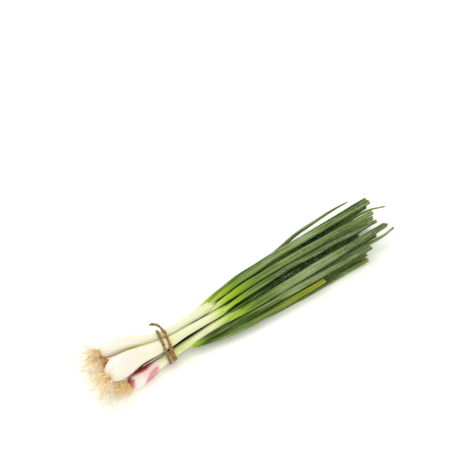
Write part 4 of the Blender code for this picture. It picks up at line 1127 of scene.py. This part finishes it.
def ply_rings(line, at, rng):
    """Two plies wound round a line: each ply's middle turns about it once a pitch, half a turn apart,
    and ripples make the spun fibre lumpy."""
    onward = unit(np.gradient(line, axis=0))
    outward = line - line.mean(axis=0)
    outward[:, 0] = 0.0
    outward = unit(outward - onward * (outward * onward).sum(axis=1, keepdims=True))
    beside = np.cross(onward, outward)
    angles = ring_angles(PLY_COLUMNS)
    ring = outward[:, None, :] * np.cos(angles)[None, :, None]
    ring = ring + beside[:, None, :] * np.sin(angles)[None, :, None]
    taper = smooth_step(at / PLY_ENDS + 0.35) * smooth_step((at[-1] - at) / PLY_ENDS + 0.35)
    twist = 2 * np.pi * at / PLY_PITCH + ripple(rng, at, *PLY_RIPPLES["twist"])
    plies = []
    for ply in range(2):
        phase = (twist + np.pi * ply)[:, None]
        offset = outward * np.cos(phase) + beside * np.sin(phase)
        offset = offset * (1 + ripple(rng, at, *PLY_RIPPLES["offset"]))[:, None]
        radius = 1 + ripple(rng, at, *PLY_RIPPLES["thickness"]) + ripple(rng, at, *PLY_RIPPLES["lumps"])
        lumps = 1 + 0.10 * np.sin(3 * angles + 4 * at[:, None])
        lumps = lumps + 0.06 * rng.normal(size=(len(at), PLY_COLUMNS))
        centre = line + PLY_OFFSET * offset
        plies.append(centre[:, None, :]
                     + ring * (PLY_RADIUS * radius * taper)[:, None, None] * lumps[..., None])
    return np.stack(plies)


def fuzz_rings(line, count, rng):
    """Loose fibres that start on the strand's middle line, lean along it either way, and curl with the
    square of how far out they are."""
    rooted = rng.integers(0, len(line), count)
    onward = unit(np.gradient(line, axis=0))[rooted]
    lean = unit(onward * rng.choice([-1, 1], count)[:, None] + 0.8 * rng.normal(size=(count, 3)))
    steps = np.linspace(0, 1, FUZZ_ROWS)[None, :, None]
    reach = rng.uniform(*FUZZ_LENGTHS, count)[:, None, None]
    curl = rng.normal(size=(count, 1, 3)) * 0.5
    hairs = line[rooted][:, None, :] + lean[:, None, :] * reach * steps + curl * steps ** 2
    radius = np.full((count, FUZZ_ROWS), FUZZ_RADIUS) * (1 - 0.6 * steps[..., 0])
    return tube_rings(hairs, radius, radius, 0.0, 3)


def jute_twine():
    """Jute: coarse bast fibre, dull and hairy. Its ridges, where the plies stand up, are painted lighter
    and the hollows between them painted darker, as light and shade. Its fibres are finer than can show,
    so their pattern is drawn 0.9 mm coarse."""
    material, tree = new_material("jute_twine")
    ridge_light = read_masks(tree, ["ridge_light"])["ridge_light"]
    place = add_node(tree, "ShaderNodeTexCoord", output="Object")
    fibres = add_node(tree, "ShaderNodeTexNoise", {
        "Vector": place, "Scale": 1.0 / (0.9 * MM), "Detail": 5.0, "Roughness": 0.7})
    dirt = add_node(tree, "ShaderNodeTexNoise", {
        "Vector": place, "Scale": 1.0 / (4.0 * MM), "Detail": 2.0})
    toned = add_node(tree, "ShaderNodeMath", {0: dirt, 1: 0.5, 2: fibres}, operation="MULTIPLY_ADD")
    # Painted light and shade: the ridges are lifted lighter and the hollows are left darker.
    lifted = add_node(tree, "ShaderNodeMath", {0: ridge_light, 1: 0.45, 2: toned}, operation="MULTIPLY_ADD")
    lifted = add_node(tree, "ShaderNodeMath", {0: lifted, 1: 1.3}, operation="DIVIDE")
    colour = add_node(tree, "ShaderNodeValToRGB", {"Fac": lifted}, stops=[
        (0.38, "#24160a"), (0.55, "#4d331b"), (0.74, "#7a5834"), (0.96, "#a58354")])
    bump = add_node(tree, "ShaderNodeBump", {
        "Height": fibres, "Strength": 0.8, "Distance": 0.3 * MM})
    shader = add_node(tree, "ShaderNodeBsdfPrincipled", {
        "Base Color": colour, "Roughness": 0.9, "Normal": bump, "Sheen Weight": 0.15})
    add_node(tree, "ShaderNodeOutputMaterial", {"Surface": shader})
    return material


twine_material = jute_twine()
twine_rng = np.random.default_rng(77)
for part, line in twine_lines().items():
    whole = np.linalg.norm(np.diff(line, axis=0), axis=1).sum()
    line = even_line(line, int(whole / TWINE_STEP))
    plies = ply_rings(line, np.linspace(0, whole, len(line)), twine_rng)
    # A ply's outer side is a ridge: the mask of painted light grows from 0.5 mm off the strand's middle
    # to 1.5 mm, so the hollows nearer the middle stay in painted shade.
    stand_off = np.linalg.norm(plies - line[None, :, None, :], axis=-1)
    plies_mesh = skin_mesh(f"twine_{part}", plies, {"ridge_light": np.clip(stand_off - 0.5, 0, 1)})
    dress(f"twine_{part}", plies_mesh, twine_material, "jute_twine", "twine")
    fuzz = fuzz_rings(line, FUZZ_COUNTS[part], twine_rng)
    # The loose fibres take the ridges' full painted light.
    fuzz_mesh = skin_mesh(f"twine_fuzz_{part}", fuzz, {"ridge_light": 1 + 0 * fuzz[..., 0]})
    dress(f"twine_fuzz_{part}", fuzz_mesh, twine_material, "jute_twine", "twine")
